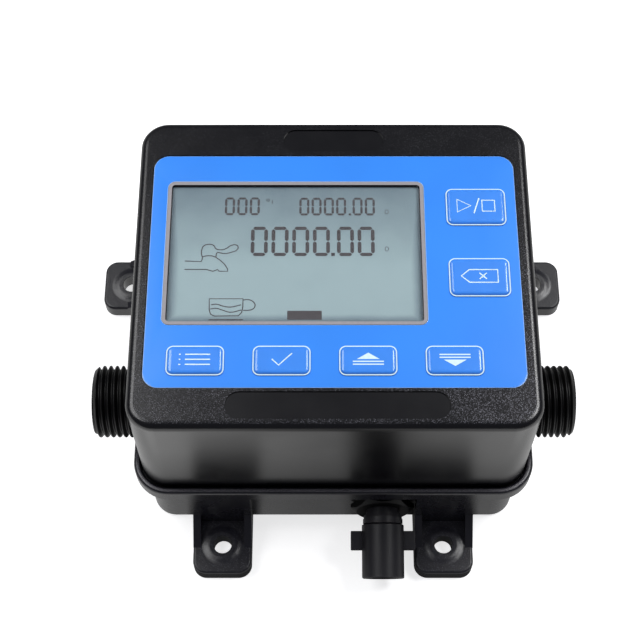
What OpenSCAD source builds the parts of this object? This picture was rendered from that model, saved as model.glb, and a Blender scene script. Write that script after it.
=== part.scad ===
// Water flow meter: a moulded case round a turbine flow sensor with two pipe ends,
// a segment display and six keys. Millimetres. The origin is on the resting plane,
// under the middle of the front face. X runs along the pipe, +Y to the display's
// upper edge and +Z out of the display.

/* [Cover] */
// Bare width of the front cover on each side of the printed overlay
face_side = 4.15; // [3.5:0.05:6]
// Bare length of the front cover above and below the printed overlay
face_end = 11.85; // [11.5:0.05:16]
// Height of the front face above the resting plane
face_z = 73.5; // [70:0.5:84]
// Radius of the cover's upright corners
cover_corner_r = 8; // [6:0.5:10]
// Radius of the rounding between the face and the sides
cover_edge_r = 2.3; // [1:0.1:3]
// Thickness of the cover's side walls
cover_wall = 2.5; // [2:0.1:3]
// Thickness of the front face
face_t = 3; // [2.6:0.1:3.4]
// Width of the upper bare recess in the face
top_recess_w = 29.2; // [20:0.1:40]
// Height of the upper bare recess
top_recess_l = 7.5; // [5:0.1:8]
// Middle of the upper recess below the cover's top edge
top_recess_inset = 6.7; // [6.2:0.1:7.2]
// Width of the lower bare recess in the face
low_recess_w = 60.5; // [40:0.1:80]
// Height of the lower bare recess
low_recess_l = 8; // [5:0.1:8.2]
// Middle of the lower recess above the cover's bottom edge
low_recess_inset = 6.8; // [6.4:0.1:7.1]
// Depth of the two bare recesses
recess_depth = 0.4; // [0.2:0.1:0.8]

/* [Base] */
// Underside of the rim above the resting plane
rim_z = 24.6; // [22:0.1:26]
// Height of the rim, up to its rounded lip
rim_h = 5; // [4.4:0.1:6]
// How far the rim stands proud of the cover
rim_proud = 2.5; // [2.2:0.1:3.2]
// How far the tub lies inside the rim's outer face
tub_inset = 3.5; // [3:0.1:4.2]
// Thickness of the tub's walls
tub_wall = 3; // [2.5:0.1:3.5]
// Thickness of the base's floor
floor_t = 3; // [2:0.1:4]
// Radius of the rounding round the resting face
base_edge_r = 1; // [0.5:0.1:1.5]
// Thickness of the sealing cord in the rim
gasket_t = 1.2; // [0.8:0.1:1.6]
// Depth of the rim's channel below its lip
channel_d = 2.6; // [2.2:0.1:3]

/* [Mounting ears] */
// Width of a mounting ear
ear_w = 17.7; // [15:0.1:20]
// How far an ear reaches past the rim
ear_reach = 16.4; // [14:0.1:20]
// Thickness of an ear's plate
ear_t = 5; // [4:0.1:6]
// Diameter of an ear's hole
ear_hole_d = 5.5; // [4:0.1:6]
// Radius of an ear's outer corners
ear_corner_r = 4; // [2:0.1:6]
// Rounding along an ear's upper edge
ear_edge_r = 0.8; // [0.4:0.1:1.5]
// Thickness of an ear's side webs
web_t = 2.3; // [1.5:0.1:3]
// How far the side webs reach past the rim
web_reach = 8.4; // [6:0.1:9]
// Height of a side web above the ear's plate where it leaves the rim
web_h = 5.4; // [3:0.1:8]
// Diameter of the dish round an ear's hole
ear_dish_d = 13; // [10:0.5:14]
// Depth of the dish
ear_dish_h = 0.9; // [0.5:0.1:1.5]
// Sideways distance between the two lower ears
low_ear_pitch = 67; // [62:0.5:72]
// Middle of the two side ears below the cover's top edge
side_ear_inset = 18.1; // [16:0.1:24]

/* [Display] */
// Corner radius of the overlay
overlay_corner_r = 4.5; // [3:0.1:6]
// Thickness of the overlay
overlay_t = 0.4; // [0.2:0.05:0.5]
// Depth of the recess that holds the overlay
overlay_recess = 0.5; // [0.5:0.05:0.7]
// Width of the display window
window_w = 73.2; // [68:0.1:74]
// Height of the display window
window_l = 45.9; // [40:0.1:47]
// Overlay left of the window
window_left_room = 4.6; // [4:0.1:8]
// Overlay right of the window, where the column of keys is
window_right_room = 26.4; // [25:0.1:32]
// Overlay above the window
window_top_room = 8.9; // [6:0.1:12]
// Overlay below the window, where the row of keys is
window_low_room = 18.9; // [18:0.1:24]
// Width of the ledge that carries the window pane
window_ledge = 1.2; // [1:0.1:2]
// Thickness of the window pane
window_t = 1.3; // [1:0.1:1.4]
// Thickness of the display's glass
lcd_t = 2.4; // [2:0.1:3]
// Thickness of the light panel behind the glass
backlight_t = 3; // [2.6:0.1:3.6]
// Thickness of the circuit board
board_t = 1.6; // [1.2:0.1:2]

/* [Keys] */
// Width of the four keys in the lower row
row_key_w = 15.9; // [12:0.1:18]
// Height of the four keys in the lower row
row_key_l = 8.9; // [7:0.1:10]
// Distance from key to key in the lower row
row_key_pitch = 23.45; // [20:0.05:24]
// Middle of the row's first key from the overlay's left edge
row_key_inset_x = 14.8; // [13:0.1:16]
// Middle of the row of keys above the overlay's bottom edge
row_key_inset_y = 7.85; // [7.4:0.05:9]
// Width of the two keys in the right column
side_key_w = 17; // [14:0.1:18]
// Height of the two keys in the right column
side_key_l = 12; // [9:0.1:13]
// Distance between the two keys in the right column
side_key_pitch = 22.7; // [18:0.1:24]
// Middle of the column of keys from the overlay's right edge
side_key_inset_x = 11.6; // [11:0.1:13]
// Middle of the column's upper key below the overlay's top edge
side_key_inset_y = 17.55; // [16:0.05:19]
// Corner radius of a key
key_corner_r = 1.9; // [1:0.1:2.4]
// Thickness of a key's cap
key_t = 0.8; // [0.6:0.1:1.2]
// Diameter of a key's stem
key_stem_d = 3; // [2.4:0.1:3.4]
// Travel of a key
key_travel = 0.25; // [0.15:0.05:0.4]

/* [Pipe ends] */
// Outer diameter of the pipe thread
port_d = 20.955; // [20:0.005:22]
// Diameter of the water passage
bore_d = 13; // [11:0.1:14]
// Diameter of the pipe inside the case
pipe_d = 19.2; // [18:0.1:19.6]
// How far each pipe stands out of the front cover's side
port_reach = 12.85; // [11:0.05:18]
// Pipe axis from the front cover's bottom edge
port_inset = 21.9; // [21:0.1:24]
// Pipe axis above the resting plane
port_z = 40.7; // [40.4:0.1:42]
// Chamfer at the pipe's end
port_chamfer = 0.9; // [0.5:0.1:1.4]

/* [Turbine] */
// Radius of the turbine's chamber
chamber_r = 16.5; // [16:0.1:17.5]
// Thickness of the chamber's wall
chamber_wall = 3.5; // [3:0.1:4]
// Height of the chamber inside
chamber_h = 19.5; // [18:0.1:20]
// Distance of the rotor's axis from the pipe's axis
chamber_offset = 8; // [7:0.1:9]
// Radius of the rotor at its blade tips
rotor_r = 15.4; // [14:0.1:15.7]
// Radius of the rotor's hub
hub_r = 4.5; // [4:0.1:5.5]
// Thickness of a blade
blade_t = 1.4; // [1:0.1:2]
// Height of a blade
blade_h = 12; // [10:0.1:13]
// Number of blades
blades = 8; // [6:1:10]
// Diameter of the rotor's shaft
shaft_d = 2.5; // [2:0.1:3]
// Diameter of a magnet
magnet_d = 4; // [3:0.1:4.4]
// Number of magnets
magnets = 4; // [2:2:6]

/* [Connector] */
// Middle of the connector, right of the middle of the face
socket_x = 14.9; // [14.5:0.05:15]
// Connector axis above the resting plane
socket_z = 12.5; // [12.2:0.1:13]
// Width across the flats of the outer nut
nut_af = 16.6; // [15:0.1:17]
// Thickness of the outer nut
nut_t = 2.4; // [2:0.1:2.8]
// Bare shank between the outer nut and the neck
shank_bare = 1.7; // [1:0.1:2]
// Diameter of the connector's neck
neck_d = 11.5; // [10.8:0.1:11.8]
// Outer diameter of the coupling sleeve
sleeve_d = 12.6; // [12.3:0.1:13]
// Length of the sleeve from the bend in the neck to its mouth
sleeve_reach = 17.4; // [15:0.1:18]
// Span across the sleeve's two wings
wing_span = 18.9; // [16:0.1:18.9]
// Length of a wing along the sleeve
wing_l = 5.7; // [4:0.1:7]
// Thickness of a wing
wing_t = 2.4; // [1.5:0.1:3]
// Droop of the sleeve below the level
sleeve_droop = 14; // [4:1:15]

/* [Clearances] */
// Gap between parts that are laid into each other
fit_gap = 0.1; // [0.05:0.05:0.2]
// Radial gap of a turning fit
run_gap = 0.05; // [0.02:0.01:0.08]
// Gap round a moving key's stem
stem_gap = 0.3; // [0.2:0.05:0.4]
// Gap between the cover and the rim's lip
rim_gap = 0.3; // [0.3:0.05:0.6]
// Gap between a key's cap and the overlay, past the key's travel
cap_gap = 0.05; // [0.05:0.05:0.2]

/* [Hidden] */
// Facets of a full circle
$fn = 64;
// Overrun of a cut past the face that it opens
over = 0.5;

// Levels above the resting plane
rim_top_z = rim_z + rim_h;
channel_z = rim_top_z - channel_d;
cover_z = channel_z + gasket_t;
recess_z = face_z - overlay_recess;
overlay_top_z = recess_z + overlay_t;
inner_face_z = face_z - face_t;
pane_seat_z = overlay_top_z - fit_gap - window_t;
bezel_metal = 0.4;
lcd_top_z = inner_face_z - bezel_metal;
lcd_z = lcd_top_z - lcd_t;
board_top_z = lcd_z - backlight_t;
board_z = board_top_z - board_t;
cap_z = overlay_top_z + key_travel + cap_gap;

// The face, laid out round the display window
overlay_w = window_w + window_left_room + window_right_room;
overlay_l = window_l + window_top_room + window_low_room;
window_x = (window_right_room - window_left_room) / 2;
window_y = (window_low_room - window_top_room) / 2;
cover_w = overlay_w + 2 * face_side;
cover_l = overlay_l + 2 * face_end;
row_key_x = overlay_w / 2 - row_key_inset_x;
row_key_y = overlay_l / 2 - row_key_inset_y;
side_key_x = overlay_w / 2 - side_key_inset_x;
side_key_y = overlay_l / 2 - side_key_inset_y;
top_recess_y = cover_l / 2 - top_recess_inset;
low_recess_y = cover_l / 2 - low_recess_inset;

// Outlines in plan
side_ear_y = cover_l / 2 - side_ear_inset;
port_y = cover_l / 2 - port_inset;
port_span = cover_w + 2 * port_reach;
rim_w = cover_w + 2 * rim_proud;
rim_l = cover_l + 2 * rim_proud;
rim_corner_r = cover_corner_r + rim_proud;
lip_t = rim_proud - rim_gap;
tub_w = rim_w - 2 * tub_inset;
tub_l = rim_l - 2 * tub_inset;
tub_corner_r = rim_corner_r - tub_inset;
inner_w = cover_w - 2 * cover_wall;
inner_l = cover_l - 2 * cover_wall;
inner_corner_r = cover_corner_r - cover_wall;
tongue_w = inner_w - 2 * rim_gap;
tongue_l = inner_l - 2 * rim_gap;
tongue_r = inner_corner_r - rim_gap;

// Steps of the soft dish round an ear's hole
dish_steps = 8;

// Case screws, at the four corners
post_inset = 7.4;
post_x = cover_w / 2 - post_inset;
post_y = cover_l / 2 - post_inset;
post_r = 4;
boss_r = 3.5;
case_screw_d = 3;
case_screw_head_d = 5.4;
case_screw_head_t = 2;
case_screw_l = 25;
case_hole_gap = 0.2;
case_pocket_gap = 0.5;
case_seat_t = 9;
boss_web_t = 1.5;
post_top_gap = 0.2;

// Circuit board and what it carries
board_gap = 1.9;
board_w = inner_w - 2 * board_gap;
board_end_gap = 8.2;
board_l = inner_l - 2 * board_end_gap;
board_notch_gap = 0.6;
board_screw_inset_x = 4.8;
board_screw_inset_y = 3.5;
board_screw_x = board_w / 2 - board_screw_inset_x;
board_screw_y = board_l / 2 - board_screw_inset_y;
board_boss_r = 2.5;
board_screw_d = 2.2;
board_screw_head_d = 4;
board_screw_head_t = 1.3;
board_screw_l = 6;
lcd_w = window_w + 2.8 * window_ledge;
lcd_l = window_l + 3.4 * window_ledge;
bezel_wall = 0.8;
bezel_w = lcd_w + 2 * (fit_gap + bezel_wall);
bezel_l = lcd_l + 2 * (fit_gap + bezel_wall);
bezel_open_w = window_w - window_ledge;
bezel_open_l = window_l - window_ledge;
strip_w = 2;
backlight_l = lcd_l - 4 * strip_w;
switch_w = 6;
switch_h = 3.5;
plunger_d = 3.4;
plunger_out = 1;
plunger_in = 2;
plunger_pocket = 2.6;
chip_w = 10;
chip_h = 1.4;
chip_leg_w = 1.2;
capacitor_d = 6.3;
capacitor_h = 8;
header_w = 8;
header_l = 5;
header_h = 5;

// Pipes, their seats and their clips
port_r = port_d / 2;
bore_r = bore_d / 2;
pipe_r = pipe_d / 2;
jet_step = 0.5;
jet_r = bore_r - jet_step;
port_end_x = port_span / 2;
thread_start_x = cover_w / 2 + fit_gap;
thread_relief = 0.3;
crest_gap = 0.25;
crest_start_x = rim_w / 2 + crest_gap;
seat_x = 21;
pipe_seal_t = 1.5;
pipe_inner_x = seat_x + pipe_seal_t;
arm_wall = 2.4;
grommet_wall = 2.8;
grommet_flange = 1;
grommet_t = 1.2;
clip_inset = 8.85;
clip_x = post_x - clip_inset;
clip_w = 8;
arm_gap = 2;
arm_x = clip_x - clip_w / 2 - arm_gap;
arm_l = arm_x - seat_x;
clip_t = 2;
clip_foot = 5.5;
clip_drop = 2;
clip_screw_d = 2.6;
clip_screw_head_d = 4.6;
clip_screw_head_t = 1.6;
clip_screw_l = 9;
clip_screw_y = pipe_r + clip_t + clip_foot / 2;
cradle_half = pipe_r + clip_t + clip_foot;

// Turbine
axis_y = chamber_offset - port_y;
chamber_floor_z = port_z - chamber_h / 2;
chamber_top_z = port_z + chamber_h / 2;
chamber_out_r = chamber_r + chamber_wall;
lug_r = 3.4;
lug_ring_r = chamber_out_r + lug_r / 3;
lug_hole_r = 1.1;
lid_t = 3.2;
seal_r = chamber_r + chamber_wall / 2;
seal_wire_r = 0.7;
rotor_play = 0.4;
rotor_h = chamber_h - 2 * rotor_play;
rotor_z = chamber_floor_z + rotor_play;
shroud_r = 11;
shroud_t = 2.6;
magnet_ring_r = 7.6;
magnet_t = 1.8;
bush_wall = 1.3;
bush_h = 3;
shaft_r = shaft_d / 2;
shaft_seat = 1.8;
chamber_screw_d = 2;
chamber_screw_head_d = 3.8;
chamber_screw_head_t = 1.4;
chamber_screw_l = 9;
sensor_w = 4.1;
sensor_d = 3;
sensor_h = 3.2;
sensor_sink = 1.6;
leg_w = 0.5;
leg_l = 2.4;

// Connector
tub_front_y = tub_l / 2;
washer_t = 0.6;
shank_r = 5;
shank_gap = 0.2;
shank_in = 6;
lock_nut_af = 14;
lock_nut_t = 2.5;
neck_straight = 0.9;
bend_d = washer_t + nut_t + shank_bare + neck_straight;
neck_past_bend = 1.2;
neck_step = 0.2;
sleeve_start = 1.4;
sleeve_shoulder = 1.6;
sleeve_wall = 1.5;
barrel_r = sleeve_d / 2 - sleeve_wall - run_gap;
barrel_reach = 9;
wing_start = 3.4;
pin_r = 0.6;
pin_pitch = 3;
pin_seat = 5;
pin_tip = 11;
nut_chamfer_share = 0.82;
nut_flat_share = 0.45;
recess_low_x = 0.8;

// Internal leads: routes chosen by hand
lead_r = 1.1;
hex_across = 2 / sqrt(3);

// Where the keys stand: the lower row from the left, then the right column from the top
key_places = [
    for (i = [0:3]) [i * row_key_pitch - row_key_x, -row_key_y],
    for (i = [0:1]) [side_key_x, side_key_y - i * side_key_pitch]
];

// A rectangle with round corners, centred on the origin
module rounded_rect(w, l, r) {
    square([w - 2 * r, l], center = true);
    square([w, l - 2 * r], center = true);
    for (sx = [-1, 1], sy = [-1, 1])
        translate([sx * (w / 2 - r), sy * (l / 2 - r)]) circle(r);
}

module slab(w, l, r, h) {
    linear_extrude(h) rounded_rect(w, l, r);
}

// Sweeps a profile round the outline of a rounded rectangle.
// The profile's x runs outwards from the outline and its y runs up.
module edge_sweep(w, l, r) {
    for (half = [0, 1]) {
        rotate([0, 0, 180 * half]) translate([w / 2, 0, 0]) rotate([90, 0, 0])
            linear_extrude(l - 2 * r, center = true) children();
        rotate([0, 0, 180 * half + 90]) translate([l / 2, 0, 0]) rotate([90, 0, 0])
            linear_extrude(w - 2 * r, center = true) children();
    }
    for (i = [0:3])
        translate([(i == 0 || i == 3 ? 1 : -1) * (w / 2 - r), (i < 2 ? 1 : -1) * (l / 2 - r), 0])
            rotate([0, 0, 90 * i]) rotate_extrude(angle = 90) translate([r, 0]) children();
}

// What is cut from an outer corner at the origin to round it
module round_cut(r) {
    difference() {
        translate([-r, -r]) square(r + over);
        translate([-r, -r]) circle(r);
    }
}

// A slab whose upper edge is rounded
module pillow(w, l, r, h, edge_r) {
    difference() {
        slab(w, l, r, h);
        translate([0, 0, h]) edge_sweep(w, l, r) round_cut(edge_r);
    }
}

module ring(r_out, r_in, h) {
    difference() {
        cylinder(h = h, r = r_out);
        translate([0, 0, -over]) cylinder(h = h + 2 * over, r = r_in);
    }
}

// A screw that points up, with its head's seat at the origin and a cross cut in the head
module screw(d, l, head_d, head_t) {
    slot_w = head_d / 6;
    difference() {
        union() {
            translate([0, 0, -head_t]) cylinder(h = head_t, d = head_d);
            cylinder(h = l, d = d);
        }
        for (a = [0, 90])
            rotate([0, 0, a]) translate([-head_d / 3, -slot_w / 2, -head_t - over])
                cube([2 * head_d / 3, slot_w, head_t / 2 + over]);
    }
}

module at_corners(x, y) {
    for (sx = [-1, 1], sy = [-1, 1]) translate([sx * x, sy * y, 0]) children();
}

module at_keys() {
    for (place = key_places) translate(place) children();
}

// Places a child that is drawn along +Z on the pipe's axis, pointing to one side
module on_pipe(side) {
    translate([0, -port_y, port_z]) rotate([0, side * 90, 0]) children();
}

// Places a child that is drawn along +Z on the connector, pointing out of the tub's wall
module on_socket() {
    translate([socket_x, -tub_front_y, socket_z]) rotate([90, 0, 0]) children();
}

// The same past the bend in the connector's neck
module on_sleeve() {
    on_socket() translate([0, 0, bend_d]) rotate([sleeve_droop, 0, 0]) children();
}

module on_rotor_axis() {
    translate([0, axis_y, 0]) children();
}

// The slot that a pipe enters by, open to the cover's lower edge
module port_slot(r, x_in, x_out) {
    for (side = [-1, 1])
        translate([side * (x_in + x_out) / 2, -port_y, 0]) {
            translate([0, 0, port_z]) rotate([0, 90, 0])
                cylinder(h = x_out - x_in, r = r, center = true);
            translate([-(x_out - x_in) / 2, -r, cover_z - over])
                cube([x_out - x_in, 2 * r, port_z - cover_z + over]);
        }
}

grommet_r = pipe_r + grommet_wall;
boss_z = rim_top_z + post_top_gap;

module front_cover() color("#232528") {
    difference() {
        union() {
            difference() {
                translate([0, 0, cover_z])
                    pillow(cover_w, cover_l, cover_corner_r, face_z - cover_z, cover_edge_r);
                translate([0, 0, cover_z - over])
                    slab(inner_w, inner_l, inner_corner_r, inner_face_z - cover_z + over);
            }
            // Bosses for the case screws, each webbed to the two walls beside it
            at_corners(post_x, post_y)
                translate([0, 0, boss_z]) cylinder(h = inner_face_z + face_t / 2 - boss_z, r = boss_r);
            for (sx = [-1, 1], sy = [-1, 1]) {
                web = post_inset - cover_wall / 2;
                translate([sx * (post_x + web / 2), sy * post_y, (boss_z + inner_face_z) / 2])
                    cube([web, boss_web_t, inner_face_z - boss_z + over], center = true);
                translate([sx * post_x, sy * (post_y + web / 2), (boss_z + inner_face_z) / 2])
                    cube([boss_web_t, web, inner_face_z - boss_z + over], center = true);
            }
            at_corners(board_screw_x, board_screw_y)
                translate([0, 0, board_top_z])
                    cylinder(h = inner_face_z + face_t / 2 - board_top_z, r = board_boss_r);
        }
        translate([0, 0, recess_z])
            slab(overlay_w + 2 * fit_gap, overlay_l + 2 * fit_gap, overlay_corner_r + fit_gap,
                 overlay_recess + over);
        translate([0, top_recess_y, face_z - recess_depth])
            slab(top_recess_w, top_recess_l, top_recess_l / 2 - fit_gap, recess_depth + over);
        translate([recess_low_x, -low_recess_y, face_z - recess_depth])
            slab(low_recess_w, low_recess_l, low_recess_l / 2 - fit_gap, recess_depth + over);
        // The window: a seat for the pane and the opening below it
        translate([-window_x, window_y, pane_seat_z])
            slab(window_w, window_l, fit_gap, face_t);
        translate([-window_x, window_y, inner_face_z - over])
            slab(window_w - 2 * window_ledge, window_l - 2 * window_ledge, fit_gap, face_t + over);
        at_keys() translate([0, 0, inner_face_z - over])
            cylinder(h = face_t + 2 * over, r = key_stem_d / 2 + stem_gap);
        port_slot(grommet_r, inner_w / 2 - over, cover_w / 2 + over);
        at_corners(post_x, post_y)
            translate([0, 0, boss_z - over])
                cylinder(h = case_screw_l, r = (case_screw_d + fit_gap) / 2);
        at_corners(board_screw_x, board_screw_y)
            translate([0, 0, board_top_z - over])
                cylinder(h = board_screw_l, r = (board_screw_d + fit_gap) / 2);
    }
}

// A low web on an ear, from the block under the rim down to its foot
module web() {
    translate([web_t / 2, 0, 0]) rotate([90, 0, -90]) linear_extrude(web_t)
        polygon([[-over, 0], [-over, ear_t + web_h], [0, ear_t + web_h], [web_reach, ear_t],
                 [web_reach, 0]]);
}

// The cut that dishes an ear round its hole: a bowl with a soft brim
module ear_dish() {
    rotate_extrude()
        polygon([[0, fit_gap],
                 for (i = [0:dish_steps])
                     let (share = i / dish_steps)
                     [share * ear_dish_d / 2, -ear_dish_h * (1 + cos(180 * share)) / 2],
                 [ear_dish_d / 2, fit_gap]]);
}

// One mounting ear. Its origin lies on the resting plane below the rim's outer face, and it
// points to -Y.
module ear() {
    root = tub_inset + tub_wall / 2;
    ear_l = ear_reach + root;
    hole_y = ear_w / 2 - ear_reach;
    difference() {
        union() {
            translate([0, (root - ear_reach) / 2, 0])
                pillow(ear_w, ear_l, ear_corner_r, ear_t, ear_edge_r);
            translate([-ear_w / 2, 0, 0]) cube([ear_w, root, rim_z + over]);
            for (side = [-1, 1]) translate([side * (ear_w - web_t) / 2, 0, 0]) web();
        }
        translate([0, hole_y, -over]) cylinder(h = ear_t + 2 * over, d = ear_hole_d);
        translate([0, hole_y, ear_t]) ear_dish();
    }
}

saddle_top_z = port_z - clip_drop;
pedestal_r = 12;
pedestal_wall = 2;
chamber_under_z = chamber_floor_z - chamber_wall;

module base() color("#1e2022") {
    difference() {
        union() {
            difference() {
                slab(tub_w, tub_l, tub_corner_r, rim_z + over);
                edge_sweep(tub_w, tub_l, tub_corner_r) mirror([0, 1]) round_cut(base_edge_r);
            }
            translate([0, 0, rim_z])
                slab(rim_w, rim_l, rim_corner_r, rim_h - lip_t / 2);
            translate([0, 0, rim_top_z - lip_t / 2])
                edge_sweep(rim_w, rim_l, rim_corner_r) translate([-lip_t / 2, 0]) circle(lip_t / 2);
            translate([0, 0, rim_z]) slab(tongue_w, tongue_l, tongue_r, rim_h);
            for (side = [-1, 1]) {
                translate([side * low_ear_pitch / 2, -rim_l / 2, 0]) ear();
                translate([side * rim_w / 2, side_ear_y, 0]) rotate([0, 0, side * 90]) ear();
            }
        }
        // The channel that takes the sealing cord and the cover's edge
        translate([0, 0, channel_z])
            difference() {
                slab(cover_w + 2 * rim_gap, cover_l + 2 * rim_gap, cover_corner_r + rim_gap, rim_h);
                translate([0, 0, -over]) slab(tongue_w, tongue_l, tongue_r, rim_h + 2 * over);
            }
        difference() {
            translate([0, 0, floor_t])
                slab(tub_w - 2 * tub_wall, tub_l - 2 * tub_wall, tub_corner_r - tub_wall,
                     rim_top_z - floor_t + over);
            at_corners(post_x, post_y) cylinder(h = rim_top_z, r = post_r);
        }
        at_corners(post_x, post_y) {
            translate([0, 0, -over])
                cylinder(h = rim_top_z + 2 * over, r = case_screw_d / 2 + case_hole_gap);
            translate([0, 0, -over])
                cylinder(h = rim_top_z - case_seat_t + over, r = (case_screw_head_d + case_pocket_gap) / 2);
        }
        on_socket() translate([0, 0, -tub_wall - over])
            cylinder(h = tub_wall + 2 * over, r = shank_r + shank_gap);
    }
    // Saddles under the pipes
    for (side = [-1, 1])
        difference() {
            translate([side * clip_x - clip_w / 2, -port_y - cradle_half, floor_t - fit_gap])
                cube([clip_w, 2 * cradle_half, saddle_top_z - floor_t + fit_gap]);
            on_pipe(side) cylinder(h = port_span / 2, r = pipe_r + fit_gap);
            for (sy = [-1, 1])
                translate([side * clip_x, sy * clip_screw_y - port_y, saddle_top_z - clip_screw_l])
                    cylinder(h = clip_screw_l + over, r = (clip_screw_d + fit_gap) / 2);
        }
    // The ring that the turbine's chamber stands on
    on_rotor_axis() translate([0, 0, floor_t - fit_gap])
        ring(pedestal_r, pedestal_r - pedestal_wall, chamber_under_z - floor_t + fit_gap);
}

module case_gasket() color("#3b3b3b") {
    translate([0, 0, channel_z])
        difference() {
            slab(cover_w, cover_l, cover_corner_r, gasket_t);
            translate([0, 0, -over]) slab(inner_w, inner_l, inner_corner_r, gasket_t + 2 * over);
        }
}

module case_screws() color("#b8bcc0") {
    at_corners(post_x, post_y)
        translate([0, 0, rim_top_z - case_seat_t])
            screw(case_screw_d, case_screw_l, case_screw_head_d, case_screw_head_t);
}

module face_overlay() color("#2f78c4") {
    difference() {
        translate([0, 0, recess_z]) slab(overlay_w, overlay_l, overlay_corner_r, overlay_t);
        translate([-window_x, window_y, recess_z - over])
            slab(window_w, window_l, fit_gap, overlay_t + 2 * over);
        at_keys() translate([0, 0, recess_z - over])
            cylinder(h = overlay_t + 2 * over, r = key_stem_d / 2 + stem_gap);
    }
}

module display_window() color("#c9d4d2", 0.4) {
    translate([-window_x, window_y, pane_seat_z])
        slab(window_w - 2 * fit_gap, window_l - 2 * fit_gap, fit_gap, window_t);
}

module lcd_glass() color("#9fb0aa") {
    translate([-window_x, window_y, lcd_z]) slab(lcd_w, lcd_l, fit_gap, lcd_t);
}

module lcd_bezel() color("#8f8a84") {
    translate([-window_x, window_y, board_top_z])
        difference() {
            slab(bezel_w, bezel_l, bezel_wall, inner_face_z - board_top_z);
            translate([0, 0, -over])
                slab(bezel_w - 2 * bezel_wall, bezel_l - 2 * bezel_wall, fit_gap,
                     lcd_top_z - board_top_z + over);
            slab(bezel_open_w, bezel_open_l, fit_gap, inner_face_z);
        }
}

module backlight() color("#eef2ea") {
    translate([-window_x, window_y, board_top_z]) slab(lcd_w, backlight_l, fit_gap, backlight_t);
}

module contact_strips() color("#d98f9a") {
    for (side = [-1, 1])
        translate([-window_x, window_y + side * (lcd_l / 2 - strip_w), board_top_z])
            translate([-lcd_w / 2, -strip_w / 2, 0]) cube([lcd_w, strip_w, backlight_t]);
}

module display_board() color("#1f6b3a") {
    difference() {
        translate([0, 0, board_z]) slab(board_w, board_l, fit_gap, board_t);
        at_corners(post_x, post_y)
            translate([0, 0, board_z - over])
                cylinder(h = board_t + 2 * over, r = boss_r + board_notch_gap);
        at_corners(board_screw_x, board_screw_y)
            translate([0, 0, board_z - over])
                cylinder(h = board_t + 2 * over, r = board_screw_d / 2 + fit_gap);
    }
}

module board_screws() color("#c4c7ca") {
    at_corners(board_screw_x, board_screw_y)
        translate([0, 0, board_z])
            screw(board_screw_d, board_screw_l, board_screw_head_d, board_screw_head_t);
}

module tact_switches() color("#2a2a2a") {
    at_keys() translate([0, 0, board_top_z])
        difference() {
            slab(switch_w, switch_w, switch_w / 8, switch_h);
            translate([0, 0, switch_h - plunger_pocket])
                cylinder(h = plunger_pocket + over, r = plunger_d / 2 + run_gap);
        }
}

// A key: a rounded cap on a stem that reaches its switch
module key(index) color("#3a86d2") {
    plunger_top_z = board_top_z + switch_h + plunger_out;
    w = index < 4 ? row_key_w : side_key_w;
    l = index < 4 ? row_key_l : side_key_l;
    translate(key_places[index]) {
        translate([0, 0, cap_z]) pillow(w, l, key_corner_r, key_t, key_t / 2);
        translate([0, 0, plunger_top_z])
            cylinder(h = cap_z - plunger_top_z + key_t / 2, d = key_stem_d);
    }
}

module plunger(index) color("#d8d4c8") {
    translate(key_places[index])
        translate([0, 0, board_top_z + switch_h - plunger_in])
            cylinder(h = plunger_in + plunger_out, d = plunger_d);
}

module menu_key() key(0);
module set_key() key(1);
module up_key() key(2);
module down_key() key(3);
module run_stop_key() key(4);
module clear_key() key(5);
module menu_plunger() plunger(0);
module set_plunger() plunger(1);
module up_plunger() plunger(2);
module down_plunger() plunger(3);
module run_stop_plunger() plunger(4);
module clear_plunger() plunger(5);

// What hangs below the circuit board, as shares of the board's half width and half length
chip_place_share = [-0.5, 0.15];
capacitor_place_share = [0.6, 0.5];
sensor_header_y = 6;
power_header_y = 12;

module controller_chip() color("#161616") {
    translate([chip_place_share.x * board_w / 2, chip_place_share.y * board_l / 2, board_z - chip_h]) {
        slab(chip_w, chip_w, chip_leg_w / 2, chip_h);
        for (side = [0:3], i = [-3:3])
            rotate([0, 0, 90 * side])
                translate([chip_w / 2 - chip_leg_w / 4, i * chip_w / 8 - leg_w / 2, chip_h / 2])
                    cube([chip_leg_w, leg_w, chip_h / 2]);
    }
}

module capacitor() color("#22304a") {
    translate([capacitor_place_share.x * board_w / 2, capacitor_place_share.y * board_l / 2,
               board_z - capacitor_h])
        cylinder(h = capacitor_h, d = capacitor_d);
}

module lead_headers() color("#e9e4d6") {
    for (place = [[0, sensor_header_y], [socket_x, power_header_y]])
        translate([place.x - header_w / 2, place.y - header_l / 2, board_z - header_h])
            cube([header_w, header_l, header_h]);
}

// One pipe along +Z, from its seat in the turbine's chamber to its threaded end
module pipe_body() {
    difference() {
        union() {
            translate([0, 0, pipe_inner_x]) cylinder(h = thread_start_x - pipe_inner_x + over, r = pipe_r);
            // Beside the base's rim the thread runs out, so that a nut stops clear of the rim
            translate([0, 0, thread_start_x])
                cylinder(h = crest_start_x - thread_start_x + over, r = port_r - thread_relief);
            translate([0, 0, crest_start_x])
                cylinder(h = port_end_x - port_chamfer - crest_start_x, r = port_r);
            translate([0, 0, port_end_x - port_chamfer])
                cylinder(h = port_chamfer, r1 = port_r, r2 = port_r - port_chamfer);
        }
        translate([0, 0, pipe_inner_x - over])
            cylinder(h = port_end_x - pipe_inner_x + 2 * over, r = bore_r);
    }
}

module inlet_pipe() color("#17181a") on_pipe(-1) pipe_body();

module outlet_pipe() color("#17181a") on_pipe(1) pipe_body();

module pipe_seals() color("#333333") {
    for (side = [-1, 1])
        on_pipe(side) translate([0, 0, seat_x]) ring(pipe_r, bore_r + fit_gap, pipe_seal_t);
}

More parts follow.
